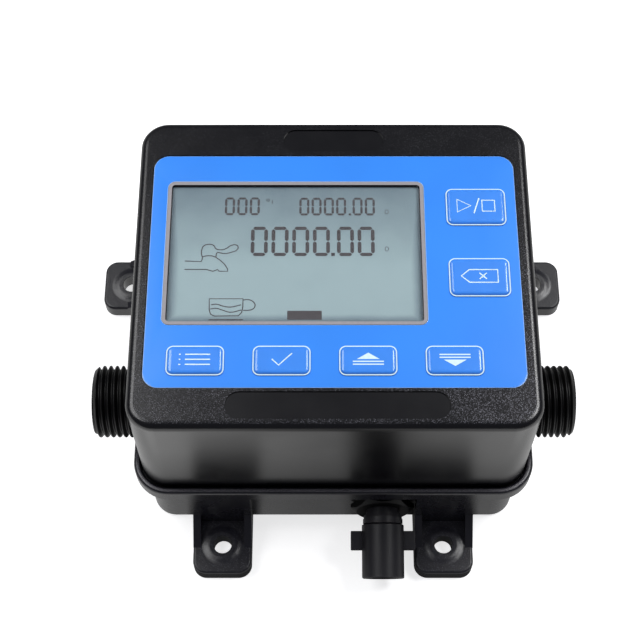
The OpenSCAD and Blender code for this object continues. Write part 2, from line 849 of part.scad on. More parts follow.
module port_grommets() color("#2b2b2b") {
    difference() {
        union() {
            port_slot(grommet_r - fit_gap, inner_w / 2, cover_w / 2);
            port_slot(grommet_r + grommet_flange, inner_w / 2 - grommet_t, inner_w / 2);
        }
        // The inner flange ends above the base's tongue, and the rest on the sealing cord
        translate([-cover_w / 2, -cover_l / 2, 0]) cube([cover_w, cover_l, cover_z]);
        translate([-inner_w / 2, -cover_l / 2, 0]) cube([inner_w, cover_l, rim_top_z + fit_gap]);
        for (side = [-1, 1])
            on_pipe(side) cylinder(h = port_span / 2, r = pipe_r + fit_gap / 2);
    }
}

module pipe_clips() color("#6d7175") {
    for (side = [-1, 1])
        difference() {
            union() {
                on_pipe(side) translate([0, 0, clip_x - clip_w / 2])
                    cylinder(h = clip_w, r = pipe_r + clip_t);
                translate([side * clip_x - clip_w / 2, -port_y - cradle_half, saddle_top_z])
                    cube([clip_w, 2 * cradle_half, clip_t]);
            }
            on_pipe(side) cylinder(h = port_span / 2, r = pipe_r + fit_gap / 2);
            translate([side * clip_x - clip_w, -port_y - cradle_half, floor_t])
                cube([2 * clip_w, 2 * cradle_half, saddle_top_z - floor_t]);
            for (sy = [-1, 1])
                translate([side * clip_x, sy * clip_screw_y - port_y, saddle_top_z - over])
                    cylinder(h = clip_t + 2 * over, r = clip_screw_d / 2 + fit_gap);
        }
}

module clip_screws() color("#c4c7ca") {
    for (sx = [-1, 1], sy = [-1, 1])
        translate([sx * clip_x, sy * clip_screw_y - port_y, saddle_top_z + clip_t])
            mirror([0, 0, 1]) screw(clip_screw_d, clip_screw_l, clip_screw_head_d, clip_screw_head_t);
}

module at_lugs() {
    on_rotor_axis() for (a = [45:90:315]) rotate([0, 0, a]) translate([lug_ring_r, 0, 0]) children();
}

module turbine_chamber() color("#d7d3c6") {
    difference() {
        union() {
            on_rotor_axis() translate([0, 0, chamber_under_z])
                cylinder(h = chamber_top_z - chamber_under_z, r = chamber_out_r);
            at_lugs() translate([0, 0, chamber_top_z - chamber_screw_l])
                cylinder(h = chamber_screw_l, r = lug_r);
            for (side = [-1, 1])
                on_pipe(side) cylinder(h = arm_x, r = pipe_r + fit_gap / 2 + arm_wall);
        }
        for (side = [-1, 1])
            on_pipe(side) {
                cylinder(h = arm_x, r = jet_r);
                translate([0, 0, seat_x]) cylinder(h = arm_l + over, r = pipe_r + fit_gap / 2);
            }
        on_rotor_axis() {
            translate([0, 0, chamber_floor_z]) cylinder(h = chamber_h + over, r = chamber_r);
            translate([0, 0, chamber_floor_z - shaft_seat])
                cylinder(h = shaft_seat + over, r = shaft_r + run_gap);
            translate([0, 0, chamber_top_z - 2 * seal_wire_r])
                ring(seal_r + seal_wire_r + fit_gap, seal_r - seal_wire_r - fit_gap, 2 * seal_wire_r + over);
        }
        at_lugs() translate([0, 0, chamber_top_z - chamber_screw_l + chamber_screw_head_t])
            cylinder(h = chamber_screw_l, r = lug_hole_r);
        // The lid's seat, also where the arms are thicker than the chamber is high
        on_rotor_axis() translate([0, 0, chamber_top_z])
            cylinder(h = arm_wall + chamber_wall, r = chamber_out_r + fit_gap);
        at_lugs() translate([0, 0, chamber_top_z])
            cylinder(h = arm_wall + chamber_wall, r = lug_r + fit_gap);
    }
}

module chamber_lid() color("#cfcabd") {
    difference() {
        union() {
            on_rotor_axis() translate([0, 0, chamber_top_z]) cylinder(h = lid_t, r = chamber_out_r);
            at_lugs() translate([0, 0, chamber_top_z]) cylinder(h = lid_t, r = lug_r);
        }
        on_rotor_axis() {
            translate([0, 0, chamber_top_z - over])
                cylinder(h = shaft_seat + over, r = shaft_r + run_gap);
            translate([-sensor_w / 2 - fit_gap, magnet_ring_r - sensor_d / 2 - fit_gap,
                       chamber_top_z + lid_t - sensor_sink])
                cube([sensor_w + 2 * fit_gap, sensor_d + 2 * fit_gap, sensor_sink + over]);
        }
        at_lugs() translate([0, 0, chamber_top_z - over])
            cylinder(h = lid_t + 2 * over, r = chamber_screw_d / 2 + fit_gap);
    }
}

module chamber_seal() color("#2e2e2e") {
    on_rotor_axis() translate([0, 0, chamber_top_z - seal_wire_r])
        rotate_extrude() translate([seal_r, 0]) circle(seal_wire_r);
}

module chamber_screws() color("#c4c7ca") {
    at_lugs() translate([0, 0, chamber_top_z + lid_t])
        mirror([0, 0, 1])
            screw(chamber_screw_d, chamber_screw_l, chamber_screw_head_d, chamber_screw_head_t);
}

bush_r = shaft_r + run_gap + bush_wall;

module turbine_rotor() color("#e8e6df") {
    on_rotor_axis() difference() {
        union() {
            translate([0, 0, rotor_z]) cylinder(h = rotor_h, r = hub_r);
            translate([0, 0, rotor_z + rotor_h - shroud_t]) cylinder(h = shroud_t, r = shroud_r);
            intersection() {
                translate([0, 0, port_z - blade_h / 2]) cylinder(h = blade_h, r = rotor_r);
                for (i = [0:blades - 1])
                    rotate([0, 0, (i + 0.5) * 360 / blades])
                        translate([0, -blade_t / 2, port_z - blade_h / 2])
                            cube([rotor_r + over, blade_t, blade_h]);
            }
        }
        translate([0, 0, rotor_z - over])
            cylinder(h = rotor_h + 2 * over, r = shaft_r + stem_gap);
        for (z = [rotor_z - over, rotor_z + rotor_h - bush_h])
            translate([0, 0, z]) cylinder(h = bush_h + over, r = bush_r + fit_gap / 4);
        for (i = [0:magnets - 1])
            rotate([0, 0, 90 + i * 360 / magnets])
                translate([magnet_ring_r, 0, rotor_z + rotor_h - magnet_t])
                    cylinder(h = magnet_t + over, r = magnet_d / 2 + fit_gap / 4);
    }
}

module rotor_magnets() color("#9a9ca0") {
    on_rotor_axis() for (i = [0:magnets - 1])
        rotate([0, 0, 90 + i * 360 / magnets])
            translate([magnet_ring_r, 0, rotor_z + rotor_h - magnet_t])
                cylinder(h = magnet_t, d = magnet_d);
}

module rotor_bushes() color("#b0843c") {
    on_rotor_axis() for (z = [rotor_z, rotor_z + rotor_h - bush_h])
        translate([0, 0, z]) ring(bush_r, shaft_r + run_gap, bush_h);
}

module rotor_shaft() color("#c9ccd0") {
    on_rotor_axis() translate([0, 0, chamber_floor_z - shaft_seat])
        cylinder(h = chamber_h + 2 * shaft_seat, r = shaft_r);
}

sensor_z = chamber_top_z + lid_t - sensor_sink;
sensor_y = axis_y + magnet_ring_r;
lead_z = chamber_top_z + lid_t + lead_r + fit_gap;
leg_end_y = sensor_y + sensor_d / 2 + leg_l;

module hall_sensor() color("#1b1b1b") {
    translate([-sensor_w / 2, sensor_y - sensor_d / 2, sensor_z])
        cube([sensor_w, sensor_d, sensor_h]);
    for (i = [-1:1])
        translate([i * sensor_w / 4 - leg_w / 2, sensor_y, lead_z - leg_w / 2])
            cube([leg_w, leg_end_y - sensor_y, leg_w]);
}

// A round lead through a list of points
module lead(points) {
    for (i = [0:len(points) - 2]) {
        step = points[i + 1] - points[i];
        translate(points[i]) rotate([0, acos(step.z / norm(step)), atan2(step.y, step.x)])
            cylinder(h = norm(step), r = lead_r);
    }
    for (i = [1:len(points) - 2]) translate(points[i]) sphere(lead_r);
}

module sensor_lead() color("#b03a2e") {
    lead([[0, leg_end_y, lead_z], [0, sensor_header_y, lead_z],
          [0, sensor_header_y, board_z - header_h]]);
}

module power_lead() color("#202020") {
    lead([[socket_x, -tub_front_y + tub_wall + shank_in, socket_z],
          [socket_x, power_header_y, socket_z],
          [socket_x, power_header_y, board_z - header_h]]);
}

module hexagon(af, h) {
    cylinder(h = h, d = af * hex_across, $fn = 6);
}

module socket_washer() color("#303030") {
    on_socket() ring(nut_af / 2, shank_r + fit_gap, washer_t);
}

// The outer nut, a hexagon whose outer end is turned to a wide chamfer
module socket_nut() color("#1c1d1f") {
    straight = nut_t * nut_flat_share;
    on_socket() translate([0, 0, washer_t])
        difference() {
            intersection() {
                hexagon(nut_af, nut_t);
                union() {
                    cylinder(h = straight, d = nut_af * hex_across);
                    translate([0, 0, straight])
                        cylinder(h = nut_t - straight, d1 = nut_af * hex_across,
                                 d2 = nut_af * hex_across * nut_chamfer_share);
                }
            }
            translate([0, 0, -over]) cylinder(h = nut_t + 2 * over, r = shank_r + fit_gap);
        }
}

// Everything past the mitre in the neck, where the connector's two straight stretches meet
module past_mitre(shift = 0) {
    on_socket() translate([0, 0, bend_d]) rotate([sleeve_droop / 2, 0, 0]) translate([0, 0, shift])
        cylinder(h = sleeve_reach, r = nut_af);
}

module socket_body() color("#1a1b1d") {
    difference() {
        on_socket() {
            translate([0, 0, -tub_wall - shank_in])
                cylinder(h = tub_wall + shank_in + bend_d - neck_straight + over, r = shank_r);
            translate([0, 0, bend_d - neck_straight])
                cylinder(h = neck_straight + neck_d / 2, d = neck_d);
        }
        past_mitre(over);
    }
    difference() {
        intersection() {
            on_sleeve() union() {
                translate([0, 0, -neck_d / 2])
                    cylinder(h = neck_past_bend + neck_d / 2, d = neck_d + 2 * neck_step);
                cylinder(h = barrel_reach, r = barrel_r);
            }
            past_mitre();
        }
        on_sleeve() for (side = [-1, 1])
            translate([side * pin_pitch / 2, 0, pin_seat])
                cylinder(h = barrel_reach, r = pin_r + fit_gap / 2);
    }
}

module lock_nut() color("#8d9196") {
    on_socket() translate([0, 0, -tub_wall - lock_nut_t])
        difference() {
            hexagon(lock_nut_af, lock_nut_t);
            translate([0, 0, -over]) cylinder(h = lock_nut_t + 2 * over, r = shank_r + fit_gap);
        }
}

module contact_pins() color("#cfae52") {
    on_sleeve() for (side = [-1, 1])
        translate([side * pin_pitch / 2, 0, pin_seat]) cylinder(h = pin_tip - pin_seat, r = pin_r);
}

// The winged sleeve that turns on the connector's barrel
module coupling_sleeve() color("#1f2022") {
    on_sleeve() difference() {
        union() {
            translate([0, 0, sleeve_start]) cylinder(h = sleeve_shoulder, d1 = neck_d, d2 = sleeve_d);
            translate([0, 0, sleeve_start + sleeve_shoulder])
                cylinder(h = sleeve_reach - sleeve_start - sleeve_shoulder, d = sleeve_d);
            translate([-wing_span / 2, -wing_t / 2, wing_start]) cube([wing_span, wing_t, wing_l]);
        }
        translate([0, 0, -over]) cylinder(h = sleeve_reach + 2 * over, r = barrel_r + run_gap);
    }
}

front_cover();
base();
case_gasket();
case_screws();
face_overlay();
display_window();
lcd_glass();
lcd_bezel();
backlight();
contact_strips();
display_board();
board_screws();
tact_switches();
menu_key();
set_key();
up_key();
down_key();
run_stop_key();
clear_key();
menu_plunger();
set_plunger();
up_plunger();
down_plunger();
run_stop_plunger();
clear_plunger();
controller_chip();
capacitor();
lead_headers();
inlet_pipe();
outlet_pipe();
pipe_seals();
port_grommets();
pipe_clips();
clip_screws();
turbine_chamber();
chamber_lid();
chamber_seal();
chamber_screws();
turbine_rotor();
rotor_magnets();
rotor_bushes();
rotor_shaft();
hall_sensor();
sensor_lead();
power_lead();
socket_washer();
socket_nut();
socket_body();
lock_nut();
contact_pins();
coupling_sleeve();
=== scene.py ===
"""Dresses the boxed water flow meter: finishes, threads, keys, display and studio."""

import logging
import math
from dataclasses import dataclass, replace
from enum import Enum
from functools import partial, reduce
from typing import Iterable, Sequence

import bmesh
import bpy
from mathutils import Matrix, Vector


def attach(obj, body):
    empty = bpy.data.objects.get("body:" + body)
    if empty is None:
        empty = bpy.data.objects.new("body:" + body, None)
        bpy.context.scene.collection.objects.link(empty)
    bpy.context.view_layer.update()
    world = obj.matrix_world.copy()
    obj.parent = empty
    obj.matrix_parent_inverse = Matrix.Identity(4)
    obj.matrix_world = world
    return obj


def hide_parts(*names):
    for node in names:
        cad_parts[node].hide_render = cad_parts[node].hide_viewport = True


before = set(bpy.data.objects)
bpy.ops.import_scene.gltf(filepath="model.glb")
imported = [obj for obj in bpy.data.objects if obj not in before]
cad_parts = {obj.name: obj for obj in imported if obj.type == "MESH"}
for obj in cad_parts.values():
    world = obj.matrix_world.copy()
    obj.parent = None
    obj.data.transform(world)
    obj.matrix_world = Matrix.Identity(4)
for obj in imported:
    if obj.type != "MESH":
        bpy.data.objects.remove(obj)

MM = 0.001
log = logging.getLogger("meter")

Colour = tuple[float, float, float]
Point = tuple[float, float]
Place = tuple[float, float, float]
Socket = bpy.types.NodeSocket
Face = bmesh.types.BMFace
Edge = bmesh.types.BMEdge


# Node layouts


class NodeDesk:
    """Lays out the nodes of a material or a world, with patterns placed by Object coordinates."""

    def __init__(self, name: str, kind: str = "Material") -> None:
        """Starts an empty layout with an output and the object's coordinates.

        Args:
            name: The name of the material or world.
            kind: Material or World.
        """
        self.owner = (bpy.data.worlds if kind == "World" else bpy.data.materials).new(name)
        self.owner.use_nodes = True
        self.tree = self.owner.node_tree
        self.tree.nodes.clear()
        self.output = self.tree.nodes.new(f"ShaderNodeOutput{kind}")
        self.where = self.add("TexCoord", out="Object")

    def add(self, kind: str, feeds: dict[str | int, object] | None = None, out: str | int = 0,
            **settings: object) -> Socket:
        """Adds a node, sets its properties and feeds its inputs.

        Args:
            kind: The node's type, without its first words.
            feeds: Sockets or plain values, by the input's name or number.
            out: The name or number of the output that is wanted.
            settings: Properties of the node, by name.

        Returns:
            The output.
        """
        node = self.tree.nodes.new(f"ShaderNode{kind}")
        for key, value in settings.items():
            setattr(node, key, value)
        for key, value in (feeds or {}).items():
            self.feed(node.inputs[key], value)
        return node.outputs[out]

    def feed(self, socket: Socket, value: object) -> None:
        """Links a socket into an input, or sets the input to a plain value.

        Args:
            socket: The input.
            value: A socket, a colour or a number.
        """
        if isinstance(value, Socket):
            self.tree.links.new(value, socket)
        elif isinstance(value, tuple) and len(value) == 3 and socket.type == "RGBA":
            socket.default_value = (*value, 1.0)
        else:
            socket.default_value = value

    def math(self, operation: str, first: object, second: object = 0.0) -> Socket:
        """Joins two numbers with a Math node and returns its output."""
        return self.add("Math", {0: first, 1: second}, operation=operation)

    def product(self, *shares: object) -> Socket:
        """Multiplies numbers with each other."""
        return reduce(partial(self.math, "MULTIPLY"), shares)

    def stretch(self, value: object, low: float, high: float, to_low: float, to_high: float,
                curve: str = "LINEAR") -> Socket:
        """Maps a number from one range to another, held at its ends.

        Args:
            value: The number to map.
            low: Start of the range it comes from.
            high: End of the range it comes from.
            to_low: Start of the range it goes to.
            to_high: End of the range it goes to.
            curve: The Map Range node's interpolation.

        Returns:
            The mapped number.
        """
        feeds = dict(enumerate((value, low, high, to_low, to_high)))
        return self.add("MapRange", feeds, interpolation_type=curve)

    def noise(self, size_mm: float, detail: float = 2.0, roughness: float = 0.5) -> Socket:
        """Lays a noise.

        Args:
            size_mm: About how wide its blotches are.
            detail: How many finer layers it has.
            roughness: How strong the finer layers are.

        Returns:
            The noise, mostly from 0.3 to 0.7.
        """
        feeds = {"Vector": self.where, "Scale": 1.0 / (size_mm * MM), "Detail": detail,
                 "Roughness": roughness}
        return self.add("TexNoise", feeds)

    def sparkle(self, size_mm: float) -> Socket:
        """Scatters specks, most of them faint and a few bright.

        Args:
            size_mm: About how far they are apart.

        Returns:
            The specks' brightness, from 0 to 1.
        """
        near = self.add("TexVoronoi", {"Vector": self.where, "Scale": 1.0 / (size_mm * MM)})
        shade = self.add("SeparateXYZ", {0: near.node.outputs["Color"]})
        return self.product(self.stretch(near, 0.5, 0.2, 0.0, 1.0), self.math("POWER", shade, 2.0))

    def blend(self, share: object, first: object, second: object) -> Socket:
        """Mixes two colours by a share and returns the colour."""
        return self.add("Mix", {0: share, 6: first, 7: second}, 2, data_type="RGBA")

    def uneven(self, share: object, colour: Colour, by: float) -> Socket:
        """Returns a colour that a pattern makes darker and lighter by so much."""
        tones = (tuple(min(1.0, channel * gain) for channel in colour) for gain in (1.0 - by, 1.0 + by))
        return self.blend(share, *tones)

    def place(self, axis: str) -> Socket:
        """Returns one of the Object coordinates, in metres."""
        return self.add("SeparateXYZ", {0: self.where}, axis)

    def away(self, axis: str, place_mm: float = 0.0) -> Socket:
        """Returns how far a point lies from a place along an axis, in metres."""
        return self.math("ABSOLUTE", self.math("SUBTRACT", self.place(axis), place_mm * MM))

    def up_share(self, low: float, high: float) -> Socket:
        """Returns 1 where the surface looks up and 0 where it looks sideways."""
        up = self.add("SeparateXYZ", {0: self.add("NewGeometry", out="Normal")}, "Z")
        return self.stretch(up, low, high, 0.0, 1.0, "SMOOTHSTEP")

    def rays(self, *kinds: str) -> Socket:
        """Returns 1 for rays of these kinds and 0 for all others."""
        paths = [self.add("LightPath", out=f"Is {kind} Ray") for kind in kinds]
        return reduce(partial(self.math, "MAXIMUM"), paths)

    def bump(self, height: object, depth_mm: float, strength: object = 1.0) -> Socket:
        """Turns a height into a normal.

        Args:
            height: The height, from 0 to 1.
            depth_mm: What a height of 1 is, in millimetres.
            strength: How much of the bump shows.

        Returns:
            The normal.
        """
        feeds = {"Height": height, "Distance": depth_mm * MM, "Strength": strength}
        return self.add("Bump", feeds)

    def show(self, shader: Socket) -> Socket:
        """Makes a shader the surface, and returns it."""
        self.feed(self.output.inputs["Surface"], shader)
        return shader

    def surface(self, **sockets: object) -> Socket:
        """Shows a Principled shader with these sockets.

        Args:
            sockets: Values by socket name, with _ for a space.

        Returns:
            The shader.
        """
        feeds = {key.replace("_", " "): value for key, value in sockets.items()}
        return self.show(self.add("BsdfPrincipled", feeds))

    def choose(self, share: object, first: Socket, second: Socket) -> Socket:
        """Shows the first shader, and the second where the share is 1, and returns the mix."""
        return self.show(self.add("MixShader", {0: share, 1: first, 2: second}))


# Finishes


def linear(red: int, green: int, blue: int) -> Colour:
    """Turns 0-255 display numbers into the colour a shader takes."""
    return tuple(((c / 255 + 0.055) / 1.055) ** 2.4 if c > 10 else c / 3294.6
                 for c in (red, green, blue))


@dataclass(frozen=True)
class MouldedPlastic:
    """Injection moulded plastic with a fine grain.

    grain_mm is the grain's size and relief_mm its depth. The grain's glints are painted into the
    colour as pale specks, a painted highlight on surfaces that look up. Their strength and tone are
    fields, and they fade towards the back and grow towards the right by a gain, as the light falls. With
    top_only, only surfaces that look up are grained, and the sides are satin. Surfaces at
    smooth_level_mm have no grain. Where there is grain, the surface is rougher by grain_rough. Above
    lip_level_mm, surfaces that look up are painted paler, towards a lip tone: a painted highlight.
    """

    name: str
    colour: Colour
    roughness: float = 0.42
    grain_mm: float = 0.5
    relief_mm: float = 0.012
    mottle: float = 0.12
    # Painted highlight: strength and tone of the pale specks that stand in for the grain's glints
    painted_glints: float = 0.0
    painted_glint_tone: Colour = (0.22, 0.22, 0.25)
    top_only: bool = False
    smooth_level_mm: float = 0.0
    shine: float = 0.5
    grain_rough: float = 0.0
    # Painted highlight: how much brighter the painted glints grow towards the right
    painted_glint_gain_right: float = 1.0
    # Painted highlight: above this level, surfaces that look up are painted paler, towards this tone
    lip_level_mm: float = 0.0
    lip_highlight_tone: Colour = (0.14, 0.135, 0.15)

    def lay(self, desk: NodeDesk) -> None:
        """Lays out the material's nodes.

        Args:
            desk: The layout that takes them.
        """
        grain = desk.noise(self.grain_mm, 2.0, 0.6)
        slow = desk.stretch(desk.noise(14.0, 3.0), 0.3, 0.7, 0.0, 1.0)
        tint = desk.uneven(slow, self.colour, self.mottle)
        strength: object = desk.up_share(0.2, 0.8) if self.top_only else 1.0
        if self.smooth_level_mm:
            off = desk.away("Z", self.smooth_level_mm)
            strength = desk.product(strength, desk.stretch(off, 0.04 * MM, 0.08 * MM, 0.0, 1.0))
        # Painted highlight: pale specks stand in for the grain's glints. They fade towards the back and
        # grow towards the right, as the light falls.
        if self.painted_glints:
            patches = desk.stretch(desk.noise(9.0, 2.0), 0.3, 0.7, 0.45 * self.painted_glints, self.painted_glints)
            painted_glint_fade_back = desk.stretch(desk.place("Y"), -35 * MM, 35 * MM, 1.0, 0.15)
            side = desk.stretch(desk.place("X"), 10 * MM, 50 * MM, 1.0, self.painted_glint_gain_right)
            painted_glint_share = desk.product(desk.sparkle(self.grain_mm), patches, painted_glint_fade_back, side, strength,
                                desk.up_share(0.9, 0.98))
            tint = desk.blend(painted_glint_share, tint, self.painted_glint_tone)
        # Painted highlight: the grained top of the lip is painted paler.
        if self.lip_level_mm:
            level = self.lip_level_mm * MM
            lip_highlight = desk.product(desk.stretch(desk.place("Z"), level - 0.3 * MM, level, 0.0, 1.0),
                               desk.stretch(grain, 0.35, 0.6, 0.25, 1.0), desk.up_share(0.86, 0.97))
            tint = desk.blend(lip_highlight, tint, self.lip_highlight_tone)
        polish = desk.stretch(desk.noise(9.0, 2.0), 0.3, 0.7, self.roughness - 0.015, self.roughness + 0.02)
        polish = desk.math("ADD", polish, desk.product(strength, self.grain_rough))
        desk.surface(Base_Color=tint, Roughness=polish, Specular_IOR_Level=self.shine,
                     Normal=desk.bump(grain, self.relief_mm, strength))


@dataclass(frozen=True)
class PrintedFilm:
    """The overlay's polycarbonate film, printed from behind, with a pale cut edge, partly painted
    highlight.
    """

    name: str
    colour: Colour
    edge: Colour
    roughness: float = 0.3

    def lay(self, desk: NodeDesk) -> None:
        """Lays out the material's nodes.

        Args:
            desk: The layout that takes them.
        """
        velvet = desk.noise(0.22, 1.0, 0.5)
        slow = desk.stretch(desk.noise(30.0, 2.0), 0.35, 0.65, 0.0, 1.0)
        tint = desk.uneven(slow, self.colour, 0.04)
        # Where the surface looks sideways, the clear cut edge is paler: partly its own unprinted edge,
        # partly a painted highlight.
        tint = desk.blend(desk.up_share(0.9, 0.99), self.edge, tint)
        desk.surface(Base_Color=tint, Roughness=self.roughness,
                     Normal=desk.bump(velvet, 0.004, 0.7))


@dataclass(frozen=True)
class GlossyDome:
    """The clear, glossy skin of a raised key over its print."""

    name: str
    colour: Colour

    def lay(self, desk: NodeDesk) -> None:
        """Lays out the material's nodes.

        Args:
            desk: The layout that takes them.
        """
        tint = desk.uneven(desk.stretch(desk.noise(6.0, 1.0), 0.3, 0.7, 0.0, 1.0), self.colour, 0.03)
        ripple = desk.bump(desk.noise(2.2, 1.0), 0.05, 0.5)
        desk.surface(Base_Color=tint, Roughness=0.3, Coat_Weight=1.0, Coat_Roughness=0.04,
                     Normal=ripple, Coat_Normal=ripple)


@dataclass(frozen=True)
class ScreenInk:
    """Flat ink or segments, faintly uneven."""

    name: str
    colour: Colour
    roughness: float = 0.4
    shine: float = 0.5

    def lay(self, desk: NodeDesk) -> None:
        """Lays out the material's nodes.

        Args:
            desk: The layout that takes them.
        """
        desk.surface(Base_Color=desk.uneven(desk.noise(0.8, 1.0), self.colour, 0.1),
                     Roughness=self.roughness, Specular_IOR_Level=self.shine)


@dataclass(frozen=True)
class ClearPane:
    """The clear plate over the display; lamps shine through it."""

    name: str
    tint: Colour = (0.97, 0.99, 0.99)

    def lay(self, desk: NodeDesk) -> None:
        """Lays out the material's nodes.

        Args:
            desk: The layout that takes them.
        """
        pane = desk.surface(Base_Color=self.tint, IOR=1.49, Transmission_Weight=1.0,
                            Roughness=desk.stretch(desk.noise(8.0, 2.0), 0.45, 0.8, 0.0, 0.02))
        desk.choose(desk.rays("Shadow", "Diffuse"), pane, desk.add("BsdfTransparent"))


@dataclass(frozen=True)
class DisplayGlass:
    """The liquid crystal glass over its light panel, with painted shade towards its edges and top."""

    name: str
    bright: Colour
    painted_shade: Colour
    middle: Point
    half: Point

    def lay(self, desk: NodeDesk) -> None:
        """Lays out the material's nodes.

        Args:
            desk: The layout that takes them.
        """
        # Painted shade: the edges and the top are painted darker, where the window's frame shades the
        # glass.
        painted_shade: object = 0.0
        for axis, centre, reach, band in (("X", self.middle[0], self.half[0], 3.5),
                                          ("Y", self.middle[1], self.half[1], 3.0)):
            edge = desk.stretch(desk.away(axis, centre), (reach - band) * MM, reach * MM, 0.0, 0.95,
                                "SMOOTHSTEP")
            painted_shade = desk.math("MAXIMUM", painted_shade, edge)
        slope = desk.stretch(desk.place("Y"), (self.middle[1] - 0.2 * self.half[1]) * MM,
                             (self.middle[1] + self.half[1]) * MM, 0.0, 0.85)
        painted_shade = desk.math("MAXIMUM", painted_shade, slope)
        painted_shade = desk.math("ADD", painted_shade, desk.stretch(desk.noise(9.0, 3.0), 0.3, 0.7, -0.08, 0.08))
        desk.surface(Base_Color=desk.blend(painted_shade, self.bright, self.painted_shade), Specular_IOR_Level=0.2,
                     Roughness=0.45)


@dataclass(frozen=True)
class BareMetal:
    """Turned or plated metal with fine turning marks."""

    name: str
    colour: Colour
    roughness: float = 0.3

    def lay(self, desk: NodeDesk) -> None:
        """Lays out the material's nodes.

        Args:
            desk: The layout that takes them.
        """
        marks = desk.noise(0.35, 3.0, 0.65)
        dull = tuple(0.85 * channel for channel in self.colour)
        tint = desk.blend(desk.noise(4.0, 2.0), dull, self.colour)
        desk.surface(Base_Color=tint, Metallic=1.0, Normal=desk.bump(marks, 0.006, 0.6),
                     Roughness=desk.stretch(marks, 0.2, 0.8, self.roughness - 0.08, self.roughness + 0.12))


@dataclass(frozen=True)
class CircuitBoard:
    """Green solder mask over copper tracks, with the tracks standing a little proud."""

    name: str
    mask: Colour
    track: Colour

    def lay(self, desk: NodeDesk) -> None:
        """Lays out the material's nodes.

        Args:
            desk: The layout that takes them.
        """
        feeds = {"Vector": desk.where, "Scale": 1.0 / (9.0 * MM), "Mortar Size": 0.045,
                 "Mortar Smooth": 0.1}
        tracks = desk.add("TexBrick", feeds, "Fac", offset=0.35, squash=2.0, squash_frequency=3)
        desk.surface(Base_Color=desk.blend(tracks, self.mask, self.track), Roughness=0.35,
                     Normal=desk.bump(tracks, 0.03, 0.6))


@dataclass(frozen=True)
class WhitePaper:
    """The studio floor: white to the eye, open from below, and keeping the meter's shadow.

    glow is how bright it is by itself. Glossy parts see a painted reflection instead, with painted
    shade, by the sheen fields: sheen_x, ear_x and the painted dark band's place are the places of
    that pattern in millimetres from the middle.
    """

    name: str
    tone: Colour = (0.85, 0.85, 0.85)
    roughness: float = 0.8
    glow: float = 0.72
    sheen: Point = (0.68, 1.05)
    sheen_beneath: float = 0.3
    sheen_x: float = 8.0
    painted_dark_band_x: float = 14.0
    ear_x: float = 33.5
    ear_dark: float = 0.12

    def painted_reflection(self, desk: NodeDesk) -> Socket:
        """Lays out the painted reflection: how bright glossy parts see the floor.

        It is a painted reflection with painted shade. It is brighter far to the left and right, dimmer
        close to the meter, dark round the lower ears and in a band ahead of the connector, as if a lead lay
        there, and even beneath the meter.

        Args:
            desk: The layout that takes the nodes.

        Returns:
            The brightness.
        """
        along = desk.place("Y")
        side, lead = desk.away("X", self.sheen_x), desk.away("X", self.painted_dark_band_x)
        ear = desk.math("ABSOLUTE", desk.math("SUBTRACT", desk.away("X"), self.ear_x * MM))
        under = desk.math("MAXIMUM", desk.stretch(ear, 9.5 * MM, 12 * MM, self.ear_dark, 1.0),
                          desk.stretch(along, -74 * MM, -71 * MM, 1.0, self.ear_dark))
        beside = desk.math("MAXIMUM", desk.stretch(desk.away("X"), 50 * MM, 52 * MM, 0.0, 1.0),
                           desk.stretch(desk.away("Y"), 44 * MM, 46 * MM, 0.0, 1.0))
        # Painted reflection for glossy rays, with painted shade near the meter, round the ears and ahead of
        # the connector.
        sheen = desk.product(desk.stretch(side, 12 * MM, 48 * MM, *self.sheen),
                             desk.stretch(side, 50 * MM, 75 * MM, 1.0, 1.5), under,
                             desk.stretch(lead, 3 * MM, 13 * MM, 0.1, 1.0, "SMOOTHSTEP"),
                             desk.stretch(along, -71 * MM, -65 * MM, 1.0, 0.5), beside)
        return desk.math("ADD", sheen, desk.stretch(beside, 0.0, 1.0, self.sheen_beneath, 0.0))

    def lay(self, desk: NodeDesk) -> None:
        """Lays out the material's nodes.

        Args:
            desk: The layout that takes them.
        """
        paper = desk.surface(Base_Color=self.tone, Roughness=self.roughness,
                             Normal=desk.bump(desk.noise(2.0), 0.01, 0.3))
        seen = desk.product(desk.rays("Camera", "Transmission"), self.glow)
        glow, mirrored = (desk.add("Emission", {"Strength": strength})
                          for strength in (seen, self.painted_reflection(desk)))
        above = desk.choose(desk.rays("Glossy"), desk.add("AddShader", {0: paper, 1: glow}), mirrored)
        desk.choose(desk.add("NewGeometry", out="Backfacing"), above, desk.add("BsdfTransparent"))


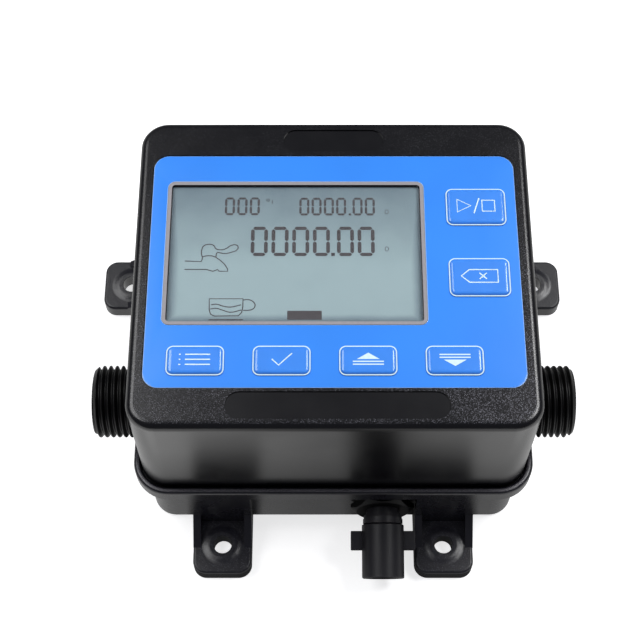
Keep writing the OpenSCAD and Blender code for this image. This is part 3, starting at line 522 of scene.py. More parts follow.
class Finish(Enum):
    """Every finish on the meter and its floor, built once, when it is first asked for."""

    # COVER, BASE, COLLAR and SOCKET carry painted glints; BASE also has a painted highlight on its lip.
    COVER = MouldedPlastic("case_grained_black", (0.0025, 0.0025, 0.0036), 0.24, 0.25, 0.014, 0.1, 0.95,
                           (0.25, 0.25, 0.29), top_only=True, smooth_level_mm=73.1, painted_glint_gain_right=1.9)
    BASE = MouldedPlastic("case_satin_black", (0.0095, 0.0092, 0.0138), 0.27, 0.34, 0.06, 0.1, 0.6,
                          (0.2, 0.2, 0.24), top_only=True, grain_rough=0.04, lip_level_mm=29.5)
    COLLAR = MouldedPlastic("ear_grained_black", (0.0095, 0.0092, 0.0138), 0.27, 0.34, 0.05, 0.1, 0.6,
                            (0.15, 0.15, 0.19), top_only=True, shine=0.6, grain_rough=0.03)
    THREAD = MouldedPlastic("pipe_satin_black", (0.0045, 0.0045, 0.0045), 0.42, 0.6, 0.006, 0.1,
                            shine=0.3)
    SOCKET = MouldedPlastic("connector_matt_black", (0.0145, 0.014, 0.0175), 0.4, 0.3, 0.012, 0.1, 0.2,
                            (0.06, 0.06, 0.075), shine=0.35)
    NUT = MouldedPlastic("nut_matt_black", (0.0035, 0.0035, 0.004), 0.45, 0.4, 0.010, 0.1, shine=0.16)
    FILM = PrintedFilm("overlay_blue_film", (0.034, 0.265, 0.95), (0.55, 0.76, 0.97))
    DOME = GlossyDome("key_blue_dome", (0.044, 0.27, 0.93))
    WHITE_INK = ScreenInk("white_print", (0.74, 0.96, 1.0), 0.3)
    FRAME_INK = ScreenInk("window_border_print", linear(156, 153, 158), 0.35, 0.3)
    SEGMENT = ScreenInk("dark_segments", linear(62, 57, 61), 0.6, 0.1)
    PANE = ClearPane("clear_pane")
    # GLASS carries painted shade towards its edges and top.
    GLASS = DisplayGlass("display_glass", linear(150, 171, 176), linear(88, 106, 118),
                         (-10.9, 5.0), (35.4, 21.75))
    BEZEL = BareMetal("bezel_tinned", (0.62, 0.62, 0.62), 0.38)
    PANEL = MouldedPlastic("light_guide_white", (0.75, 0.78, 0.8), 0.3, 0.8, 0.004, 0.03)
    STRIP = MouldedPlastic("contact_rubber_pink", linear(196, 132, 128), 0.6, 0.6, 0.01, 0.1)
    BOARD = CircuitBoard("board_green", (0.012, 0.10, 0.03), (0.03, 0.20, 0.07))
    SWITCH = MouldedPlastic("switch_black", linear(30, 30, 32), 0.45, 0.4, 0.008)
    IVORY = MouldedPlastic("plunger_ivory", linear(222, 214, 194), 0.4, 0.5, 0.006, 0.05)
    CHIP = MouldedPlastic("chip_epoxy_black", linear(34, 34, 36), 0.55, 0.3, 0.012)
    CAN = MouldedPlastic("capacitor_sleeve_blue", linear(36, 58, 120), 0.3, 0.7, 0.004, 0.06)
    HEADER = MouldedPlastic("header_white", linear(226, 224, 214), 0.45, 0.5, 0.006, 0.04)
    CHAMBER = MouldedPlastic("chamber_nylon_white", linear(216, 212, 200), 0.42, 0.6, 0.01, 0.06)
    ROTOR = MouldedPlastic("rotor_white", linear(230, 229, 224), 0.36, 0.6, 0.006, 0.04)
    MAGNET = BareMetal("magnet_plated", (0.55, 0.55, 0.57), 0.28)
    BRONZE = BareMetal("bush_bronze", (0.62, 0.42, 0.22), 0.34)
    STEEL = BareMetal("screw_steel", (0.66, 0.66, 0.68), 0.28)
    GOLD = BareMetal("pin_gilt", (0.86, 0.62, 0.24), 0.22)
    RUBBER = MouldedPlastic("seal_rubber", linear(34, 34, 35), 0.62, 0.4, 0.012, 0.15)
    RED_LEAD = MouldedPlastic("lead_red", linear(170, 30, 28), 0.42, 0.8, 0.004, 0.08)
    BLACK_LEAD = MouldedPlastic("lead_black", linear(28, 28, 30), 0.42, 0.8, 0.004, 0.08)
    PAPER = WhitePaper("white_paper")

    def material(self) -> bpy.types.Material:
        """Builds the finish's material the first time, and finds it again later.

        Returns:
            The material.
        """
        made = bpy.data.materials.get(self.value.name)
        if made is None:
            desk = NodeDesk(self.value.name)
            self.value.lay(desk)
            made = desk.owner
        return made


# The construction nodes that take each finish; keys and plungers take theirs by their names
CARRIED: dict[Finish, str] = {
    Finish.COVER: "front_cover", Finish.BASE: "base", Finish.FILM: "face_overlay",
    Finish.RUBBER: "case_gasket port_grommets pipe_seals chamber_seal socket_washer",
    Finish.STEEL: "case_screws board_screws pipe_clips clip_screws chamber_screws rotor_shaft lock_nut",
    Finish.PANE: "display_window", Finish.GLASS: "lcd_glass", Finish.BEZEL: "lcd_bezel",
    Finish.PANEL: "backlight", Finish.STRIP: "contact_strips", Finish.BOARD: "display_board",
    Finish.SWITCH: "tact_switches", Finish.CHIP: "controller_chip hall_sensor",
    Finish.CAN: "capacitor", Finish.HEADER: "lead_headers", Finish.THREAD: "inlet_pipe outlet_pipe",
    Finish.CHAMBER: "turbine_chamber chamber_lid", Finish.ROTOR: "turbine_rotor",
    Finish.MAGNET: "rotor_magnets", Finish.BRONZE: "rotor_bushes", Finish.RED_LEAD: "sensor_lead",
    Finish.BLACK_LEAD: "power_lead", Finish.NUT: "socket_nut",
    Finish.SOCKET: "socket_body coupling_sleeve", Finish.GOLD: "contact_pins",
}


def dress_carried_nodes() -> None:
    """Gives every node that the construction carries its finish."""
    finishes = {node: finish for finish, nodes in CARRIED.items() for node in nodes.split()}
    for node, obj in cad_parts.items():
        spare = Finish.DOME if node.endswith("_key") else Finish.IVORY
        finish = finishes.get(node, spare)
        obj.data.materials.clear()
        obj.data.materials.append(finish.material())
        log.info("%s takes %s", node, finish.value.name)


# Shaping


@dataclass(frozen=True)
class Plan:
    """A rounded rectangle seen from above, in millimetres."""

    width: float
    length: float
    corner: float
    x: float = 0.0
    y: float = 0.0

    def grown(self, by: float) -> "Plan":
        """Returns the same outline moved outwards."""
        return Plan(self.width + 2 * by, self.length + 2 * by, self.corner + by, self.x, self.y)


def linked(name: str, data: bpy.types.ID) -> bpy.types.Object:
    """Makes an object of some data and links it to the scene.

    Args:
        name: The object's name.
        data: Its mesh, curve, lamp or camera.

    Returns:
        The object.
    """
    made = bpy.data.objects.new(name, data)
    bpy.context.scene.collection.objects.link(made)
    return made


class Mould:
    """A mesh in the making, in millimetres from the meter's middle on the floor."""

    def __init__(self) -> None:
        """Starts an empty mesh."""
        self.bm = bmesh.new()

    def sheet(self, plan: Plan, level: float, steps: int = 8) -> Face:
        """Lays one flat face with rounded corners.

        Args:
            plan: The face's outline.
            level: Its height.
            steps: Segments in each corner.

        Returns:
            The face.
        """
        before = set(self.bm.faces)
        verts = bmesh.ops.create_grid(self.bm, x_segments=1, y_segments=1, size=0.5)["verts"]
        bmesh.ops.scale(self.bm, vec=(plan.width, plan.length, 1.0), verts=verts)
        bmesh.ops.translate(self.bm, vec=(plan.x, plan.y, level), verts=verts)
        if plan.corner > 0:
            self.soften(verts, plan.corner, steps, "VERTICES")
        return next(face for face in self.bm.faces if face not in before)

    def lift(self, faces: Iterable[Face], height: float) -> list[Face]:
        """Extrudes faces straight up.

        Args:
            faces: The faces.
            height: How far they go up.

        Returns:
            The new top faces.
        """
        made = bmesh.ops.extrude_face_region(self.bm, geom=list(faces))["geom"]
        verts = [part for part in made if isinstance(part, bmesh.types.BMVert)]
        bmesh.ops.translate(self.bm, vec=(0, 0, height), verts=verts)
        return [part for part in made if isinstance(part, Face)]

    def plate(self, plan: Plan, low: float, thick: float, steps: int = 8) -> Face:
        """Lays a plate with rounded corners from a height upwards and returns its top face."""
        return self.lift([self.sheet(plan, low, steps)], thick)[0]

    def shrink(self, face: Face, by: float, rise: float = 0.0) -> Face:
        """Insets a face and raises what is inside.

        Args:
            face: The face.
            by: How far the inner face keeps from its edges.
            rise: How far the inner face goes up.

        Returns:
            The inner face.
        """
        bmesh.ops.inset_region(self.bm, faces=[face], thickness=by, depth=0.0, use_even_offset=True,
                               use_boundary=True)
        if rise:
            bmesh.ops.translate(self.bm, vec=(0, 0, rise), verts=list(face.verts))
        return face

    def soften(self, parts: Iterable[object], offset: float, segments: int,
               affect: str = "EDGES") -> None:
        """Rounds edges, or corners where affect is VERTICES."""
        bmesh.ops.bevel(self.bm, geom=list(parts), offset=offset, offset_type="OFFSET",
                        segments=segments, profile=0.5, affect=affect, material=-1)

    def spun(self, profile: Sequence[Point], frame_of: Matrix, steps: int = 48) -> None:
        """Turns a profile of (radius, height) points round the frame's own Z.

        Args:
            profile: The points, in order; the first and last join if they are equal.
            frame_of: Where the axis stands.
            steps: Segments round the axis.
        """
        verts = [self.bm.verts.new((radius, 0.0, height)) for radius, height in profile]
        edges = [self.bm.edges.new(pair) for pair in zip(verts, verts[1:])]
        before = set(self.bm.verts) - set(verts)
        bmesh.ops.spin(self.bm, geom=verts + edges, cent=(0, 0, 0), axis=(0, 0, 1),
                       angle=math.tau, steps=steps, use_merge=True)
        made = [vert for vert in self.bm.verts if vert not in before]
        bmesh.ops.remove_doubles(self.bm, verts=made, dist=1e-4)
        made = [vert for vert in self.bm.verts if vert not in before]
        bmesh.ops.transform(self.bm, matrix=frame_of, verts=made)

    def draw(self, strokes: Sequence[Sequence[Point]], width: float, low: float, thick: float,
             smooth: bool = False) -> None:
        """Draws lines as flattened wire.

        Args:
            strokes: Lines of points; a line that ends where it starts is closed.
            width: The lines' width.
            low: Height of their underside.
            thick: How thick they are.
            smooth: True rounds the lines through their points.
        """
        curve = bpy.data.curves.new("line", "CURVE")
        curve.dimensions, curve.resolution_u = "3D", 6
        curve.bevel_depth, curve.bevel_resolution, curve.use_fill_caps = width / 2, 1, True
        for stroke in strokes:
            closed = stroke[0] == stroke[-1]
            points = stroke[:-1] if closed else stroke
            spline = curve.splines.new("BEZIER" if smooth else "POLY")
            targets = spline.bezier_points if smooth else spline.points
            targets.add(len(points) - 1)
            for target, (x, y) in zip(targets, points):
                target.co = (x, y, 0.0) if smooth else (x, y, 0.0, 1.0)
                if smooth:
                    target.handle_left_type = target.handle_right_type = "AUTO"
            spline.use_cyclic_u = closed
        holder = linked("line", curve)
        mesh = bpy.data.meshes.new_from_object(holder)
        mesh.transform(Matrix.Translation((0.0, 0.0, low + thick / 2))
                       @ Matrix.Diagonal((1.0, 1.0, thick / width, 1.0)))
        self.bm.from_mesh(mesh)
        bpy.data.objects.remove(holder)
        bpy.data.curves.remove(curve)
        bpy.data.meshes.remove(mesh)

    def cast(self, name: str) -> bpy.types.Object:
        """Sets the finished mesh in the scene.

        Args:
            name: The object's name.

        Returns:
            The object.
        """
        mesh = bpy.data.meshes.new(name)
        self.bm.to_mesh(mesh)
        self.bm.free()
        return linked(name, mesh)


def placed(name: str, mould: Mould, finishes: Sequence[Finish], body: str,
           stands_for: Sequence[str] = (), sharp: float = 38.0) -> None:
    """Closes a mould and sets the piece in the scene.

    Args:
        name: The piece's name.
        mould: Its mesh, in millimetres.
        finishes: Its finishes, in the order of the faces' material numbers.
        body: The moving body that it rides on.
        stands_for: Construction nodes that it stands for.
        sharp: Edges bent more than this many degrees stay sharp.
    """
    bm = mould.bm
    bmesh.ops.remove_doubles(bm, verts=bm.verts, dist=1e-4)
    bmesh.ops.recalc_face_normals(bm, faces=bm.faces)
    bmesh.ops.scale(bm, vec=(MM, MM, MM), verts=bm.verts)
    for face in bm.faces:
        face.smooth = True
    for edge in bm.edges:
        if len(edge.link_faces) == 2 and edge.calc_face_angle(0.0) > math.radians(sharp):
            edge.smooth = False
    piece = mould.cast(name)
    for finish in finishes:
        piece.data.materials.append(finish.material())
    weight = piece.modifiers.new("even_normals", "WEIGHTED_NORMAL")
    weight.keep_sharp = True
    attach(piece, body)
    if stands_for:
        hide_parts(*stands_for)
    log.info("%s: %d faces on %s", name, len(piece.data.polygons), body)


# Sub-assemblies


@dataclass
class ThreadedPipe:
    """A pipe with a real G1/2 thread outside the case. Lengths in millimetres.

    Its thread rises from the root over chamfer at the free end, and start_gain times as steeply at
    the case.
    """

    name: str
    node: str
    turned: bool
    axis_y: float = -26.8
    axis_z: float = 40.7
    crest_r: float = 10.4775
    pitch: float = 1.814
    thread_depth: float = 1.162
    thread_start: float = 56.35
    end: float = 69.1
    pipe_r: float = 9.6
    bore_r: float = 6.5
    inner_end: float = 22.5
    bore_chamfer: float = 0.5
    chamfer: float = 1.3
    start_gain: float = 2.2
    run_out: float = 0.4
    steps: int = 72

    def thread_profile(self) -> list[Point]:
        """Draws one pitch of the rounded 55 degree form.

        Returns:
            Its (along, radius) points.
        """
        root, crest = self.crest_r - self.thread_depth, self.crest_r
        shares = ((0.0, 0.0), (0.07, 0.03), (0.14, 0.12), (0.36, 0.88), (0.43, 0.97), (0.5, 1.0),
                  (0.57, 0.97), (0.64, 0.88), (0.86, 0.12), (0.93, 0.03), (1.0, 0.0))
        return [(along * self.pitch, root + (crest - root) * rise) for along, rise in shares]

    def wound(self, mould: Mould) -> None:
        """Winds the thread's surface and trims both its ends square.

        Args:
            mould: The mould that takes it.
        """
        bm = mould.bm
        turns = math.ceil((self.end - self.thread_start) / self.pitch) + 1
        first = self.thread_start - self.pitch
        verts = [bm.verts.new((first + along, 0.0, radius)) for along, radius in self.thread_profile()]
        edges = [bm.edges.new(pair) for pair in zip(verts, verts[1:])]
        bmesh.ops.spin(bm, geom=verts + edges, cent=(0, 0, 0), axis=(1, 0, 0),
                       dvec=(self.pitch / self.steps, 0, 0), angle=math.tau * turns,
                       steps=self.steps * turns, use_merge=False)
        bmesh.ops.remove_doubles(bm, verts=bm.verts, dist=1e-3)
        for place, side in ((self.thread_start, -1), (self.end, 1)):
            bmesh.ops.bisect_plane(bm, geom=bm.verts[:] + bm.edges[:] + bm.faces[:], dist=1e-5,
                                   plane_co=(place, 0, 0), plane_no=(side, 0, 0), clear_outer=True)
        root = self.crest_r - self.thread_depth - 0.01
        for vert in bm.verts:
            radius = math.hypot(vert.co.y, vert.co.z)
            lead = min(self.end - vert.co.x, self.start_gain * (vert.co.x - self.thread_start))
            limit = root + max(0.0, lead) * (self.crest_r - root) / self.chamfer
            if radius > limit:
                vert.co.y *= limit / radius
                vert.co.z *= limit / radius

    def rim(self, bm: bmesh.types.BMesh, place: float) -> list[Edge]:
        """Returns the open edges that lie in the plane at a place along the axis."""
        return [edge for edge in bm.edges
                if edge.is_boundary and all(abs(vert.co.x - place) < 1e-3 for vert in edge.verts)]

    def carried_on(self, bm: bmesh.types.BMesh, edges: list[Edge], place: float,
                   radius: float) -> list[Edge]:
        """Extrudes a round rim to another place and radius.

        Args:
            bm: The mesh.
            edges: The rim's edges.
            place: Where along the axis the new rim lies.
            radius: The new rim's radius.

        Returns:
            The new rim's edges.
        """
        made = bmesh.ops.extrude_edge_only(bm, edges=edges)["geom"]
        verts = [part for part in made if isinstance(part, bmesh.types.BMVert)]
        for vert in verts:
            share = radius / math.hypot(vert.co.y, vert.co.z)
            vert.co = (place, vert.co.y * share, vert.co.z * share)
        return [part for part in made if isinstance(part, Edge)]

    def build(self) -> None:
        """Makes the pipe: thread, end face, bore and the plain tube inside the case."""
        mould = Mould()
        bm = mould.bm
        self.wound(mould)
        rim = self.rim(bm, self.end)
        for place, radius in ((self.end, self.bore_r + self.bore_chamfer),
                              (self.end - self.bore_chamfer, self.bore_r),
                              (self.inner_end, self.bore_r), (self.inner_end, self.pipe_r),
                              (self.thread_start - self.run_out, self.pipe_r)):
            rim = self.carried_on(bm, rim, place, radius)
        bmesh.ops.bridge_loops(bm, edges=rim + self.rim(bm, self.thread_start))
        if self.turned:
            bmesh.ops.rotate(bm, matrix=Matrix.Rotation(math.pi, 3, "Z"), cent=(0, 0, 0), verts=bm.verts)
        bmesh.ops.translate(bm, vec=(0, self.axis_y, self.axis_z), verts=bm.verts)
        placed(self.name, mould, [Finish.THREAD], "case", [self.node], sharp=60.0)


@dataclass
class EarCollars:
    """The low, soft collars round the holes of the mounting ears. Lengths in millimetres."""

    places: Sequence[Point] = ((-33.5, -58.75), (33.5, -58.75), (-66.3, 30.6), (66.3, 30.6))
    ear_top: float = 5.0
    hole_r: float = 2.75
    crown_r: float = 3.8
    foot_r: float = 6.4
    height: float = 0.48
    lip_r: float = 0.08
    sunk: float = 0.6
    proud: float = 0.02
    steps: int = 8

    def section(self) -> list[Point]:
        """Draws the collar's outline, with a slope like half a wave.

        Returns:
            Its (radius, height) points.
        """
        slope = [(self.crown_r + (self.foot_r - self.crown_r) * i / self.steps,
                  self.ear_top + self.proud + self.height * (1 + math.cos(math.pi * i / self.steps)) / 2)
                 for i in range(self.steps + 1)]
        hole, top, low = self.hole_r - 0.01, self.ear_top + self.height, self.ear_top - self.sunk
        return [(hole, low), (hole, top - self.lip_r), (hole + self.lip_r, top),
                *slope, (self.foot_r, self.ear_top - 0.1), (hole, low)]

    def build(self) -> None:
        """Turns a collar round each hole."""
        mould = Mould()
        for x, y in self.places:
            mould.spun(self.section(), Matrix.Translation((x, y, 0.0)))
        placed("ear_collars", mould, [Finish.COLLAR], "case")


@dataclass
class TurnSleeve:
    """The winged sleeve on the connector, with crisp shoulders. Lengths in millimetres."""

    bend: Place = (14.9, -53.3, 12.5)
    droop: float = 14.0
    start: float = 1.4
    reach: float = 17.4
    outer_r: float = 6.3
    neck_r: float = 5.75
    inner_r: float = 4.8
    wing_span: float = 19.3
    wing_t: float = 2.4
    wing_start: float = 3.4
    wing_l: float = 5.7
    wing_root: float = 0.3
    edge: float = 0.25

    def build(self) -> None:
        """Turns the sleeve and sets its two wings."""
        out = Matrix.Translation(self.bend) @ Matrix.Rotation(math.radians(90 + self.droop), 4, "X")
        mould = Mould()
        outer, edge = self.outer_r, self.edge
        mould.spun([(self.inner_r, self.start), (self.neck_r, self.start), (outer - 0.1, self.start + 0.2),
                    (outer, self.start + 0.4), (outer, self.reach - edge), (outer - edge, self.reach),
                    (self.inner_r, self.reach), (self.inner_r, self.start)], out, 64)
        for side in (-1, 1):
            width = self.wing_span / 2 - self.inner_r - self.wing_root
            middle = (side * (self.wing_span - width) / 2, 0.0, self.wing_start + self.wing_l / 2)
            verts = bmesh.ops.create_cube(mould.bm, size=1.0)["verts"]
            bmesh.ops.scale(mould.bm, vec=(width, self.wing_t, self.wing_l), verts=verts)
            bmesh.ops.translate(mould.bm, vec=middle, verts=verts)
            bmesh.ops.transform(mould.bm, matrix=out, verts=verts)
            mould.soften({line for vert in verts for line in vert.link_edges}, edge, 2)
        placed("winged_sleeve", mould, [Finish.SOCKET], "sleeve", ["coupling_sleeve"])


class KeySign(Enum):
    """The plain sign printed on a key.

    A sign of lines is given by their points from the key's middle, in millimetres, and an arrow by
    the way it points.
    """

    LIST = tuple(line for up in (1.5, 0.0, -1.5)
                 for line in (((-2.6, up), (4.2, up)), ((-4.3, up), (-3.8, up))))
    TICK = (((-2.6, 0.1), (-0.8, -1.7), (2.8, 1.8)),)
    RESET = (((-5.2, 0.0), (-2.9, 2.0), (5.0, 2.0), (5.0, -2.0), (-2.9, -2.0), (-5.2, 0.0)),
             ((-0.1, 0.95), (1.9, -0.95)), ((-0.1, -0.95), (1.9, 0.95)))
    RUN_STOP = (((-5.4, 2.1), (-5.4, -2.1), (-1.5, 0.0), (-5.4, 2.1)), ((-0.7, -2.5), (0.9, 2.5)),
                ((1.7, 1.8), (5.3, 1.8), (5.3, -1.8), (1.7, -1.8), (1.7, 1.8)))
    UP = 1
    DOWN = -1


@dataclass
class PressKey:
    """A raised, glossy key with a white printed border and a plain sign.

    Its cap sits to one side of its stem by lean. The pillow gets steeper towards its rim by
    rise_power and inset_power. Lengths in millimetres.
    """

    node: str
    body: str
    plan: Plan
    sign: KeySign
    foot_z: float = 73.7
    top_z: float = 74.5
    border: float = 0.32
    border_h: float = 0.06
    pillow_w: float = 1.3
    pillow_steps: int = 7
    rise_power: float = 2.6
    inset_power: float = 1.5
    crown_inset: float = 0.1
    print_t: float = 0.03
    line_w: float = 0.36
    arrow: Point = (6.2, 1.9)
    arrow_up: float = 0.72
    bar_w: float = 8.4
    bars_back: Point = (0.6, 1.45)
    stem_r: float = 1.5
    stem_end_z: float = 70.6
    stem_chamfer: float = 0.3
    lean: float = 0.0

    def dome(self, mould: Mould) -> None:
        """Shapes the cap: a printed border, and the pillow that swells inside it.

        Args:
            mould: The mould that takes it.
        """
        bm = mould.bm
        crown = mould.plate(self.plan, self.foot_z, self.border_h)
        mould.shrink(crown, self.border)
        for face in bm.faces:
            face.material_index = 1
        swell = self.top_z - self.print_t - self.foot_z - self.border_h
        done = inset = 0.0
        for step in range(1, self.pillow_steps + 1):
            share = step / self.pillow_steps
            rise = swell * (1 - (1 - share) ** self.rise_power)
            reach = self.pillow_w * share ** self.inset_power
            mould.shrink(crown, reach - inset, rise - done)
            done, inset = rise, reach
        mould.shrink(crown, self.crown_inset)
        for face in bm.faces:
            if face.calc_center_median().z > self.foot_z + self.border_h + 1e-3:
                face.material_index = 0

    def stem(self, mould: Mould) -> None:
        """Adds the stem below the cap.

        Args:
            mould: The mould that takes it.
        """
        radius, end, cut = self.stem_r, self.stem_end_z, self.stem_chamfer
        mould.spun([(0.0, self.foot_z), (radius, self.foot_z), (radius, end + cut), (radius - cut, end),
                    (0.0, end)], Matrix.Translation((self.plan.x - self.lean, self.plan.y, 0.0)), 24)

    def print_arrow(self, mould: Mould, side: int, level: float) -> None:
        """Prints a filled triangle over two bars.

        Args:
            mould: The mould that takes them.
            side: 1 points it up, -1 down.
            level: The height of their underside.
        """
        x, y = self.plan.x, self.plan.y
        for back in self.bars_back:
            mould.plate(Plan(self.bar_w, self.line_w, 0.0, x, y - side * back), level, self.print_t)
        before = set(mould.bm.faces)
        verts = bmesh.ops.create_circle(mould.bm, cap_ends=True, segments=3, radius=1.0)["verts"]
        size = (self.arrow[0] / math.sqrt(3.0), side * self.arrow[1] / 1.5, 1.0)
        bmesh.ops.scale(mould.bm, vec=size, verts=verts)
        bmesh.ops.translate(mould.bm, vec=(x, y + side * self.arrow_up, level), verts=verts)
        mould.lift([face for face in mould.bm.faces if face not in before], self.print_t)

    def signed(self) -> Mould:
        """Prints the key's sign.

        Returns:
            The sign's mould.
        """
        mould = Mould()
        level, sign = self.top_z - self.print_t, self.sign.value
        if self.sign in (KeySign.UP, KeySign.DOWN):
            self.print_arrow(mould, sign, level)
        else:
            lines = [[(self.plan.x + x, self.plan.y + y) for x, y in line] for line in sign]
            mould.draw(lines, self.line_w, level, self.print_t)
        return mould

    def build(self) -> None:
        """Makes the key and its sign, both riding on the key's own body."""
        cap = Mould()
        self.dome(cap)
        self.stem(cap)
        placed(f"{self.node}_dome", cap, [Finish.DOME, Finish.WHITE_INK], self.body, [self.node])
        placed(f"{self.node}_sign", self.signed(), [Finish.WHITE_INK], self.body)


@dataclass
class FaceFilm:
    """The blue overlay with its window and the keys' holes. Lengths in millimetres."""

    outline: Plan
    window: Plan
    key_places: Sequence[Point]
    hole_r: float = 1.8
    low_z: float = 73.0
    top_z: float = 73.4
    edge: float = 0.34

    def build(self) -> None:
        """Cuts the film and rounds its upper edge."""
        mould = Mould()
        bm = mould.bm
        for plan, steps in ((self.outline, 10), (self.window, 6)):
            face = mould.sheet(plan, self.low_z, steps)
            bmesh.ops.delete(bm, geom=[face], context="FACES_ONLY")
        for x, y in self.key_places:
            bmesh.ops.create_circle(bm, cap_ends=False, segments=24, radius=self.hole_r,
                                    matrix=Matrix.Translation((x, y, self.low_z)))
        bmesh.ops.triangle_fill(bm, edges=bm.edges[:], use_beauty=True, use_dissolve=False,
                                normal=(0, 0, 1))
        mould.lift(bm.faces[:], self.top_z - self.low_z)
        rim = [edge for edge in bm.edges
               if all(vert.co.z > self.top_z - 1e-4 for vert in edge.verts)
               and len(edge.link_faces) == 2 and edge.calc_face_angle(0.0) > 1.0]
        mould.soften(rim, self.edge, 2)
        placed("blue_face_film", mould, [Finish.FILM], "case", ["face_overlay"])


@dataclass
class DisplayWindow:
    """The clear pane and the border printed on it. Lengths in millimetres."""

    pane: Plan
    border: Plan
    low_z: float = 72.0
    top_z: float = 73.3
    border_w: float = 1.0
    print_gap: float = 0.01
    print_t: float = 0.05
    edge: float = 0.12

    def build(self) -> None:
        """Makes the pane and its printed border."""
        mould = Mould()
        top = mould.plate(self.pane, self.low_z, self.top_z - self.low_z, 3)
        mould.soften(top.edges, self.edge, 2)
        placed("clear_window", mould, [Finish.PANE], "case", ["display_window"])
        mould = Mould()
        face = mould.sheet(self.border, self.top_z + self.print_gap)
        inner = mould.shrink(face, self.border_w)
        bmesh.ops.delete(mould.bm, geom=[inner], context="FACES_ONLY")
        mould.lift(mould.bm.faces[:], self.print_t)
        placed("window_border", mould, [Finish.FRAME_INK], "case")


@dataclass(frozen=True)
class DigitRow:
    """A row of display zeros: where it starts, each digit's size, and where its point is."""

    left: float
    low: float
    width: float
    height: float
    pitch: float
    stroke: float
    digits: int
    point_after: int = 0
    point_room: float = 0.0


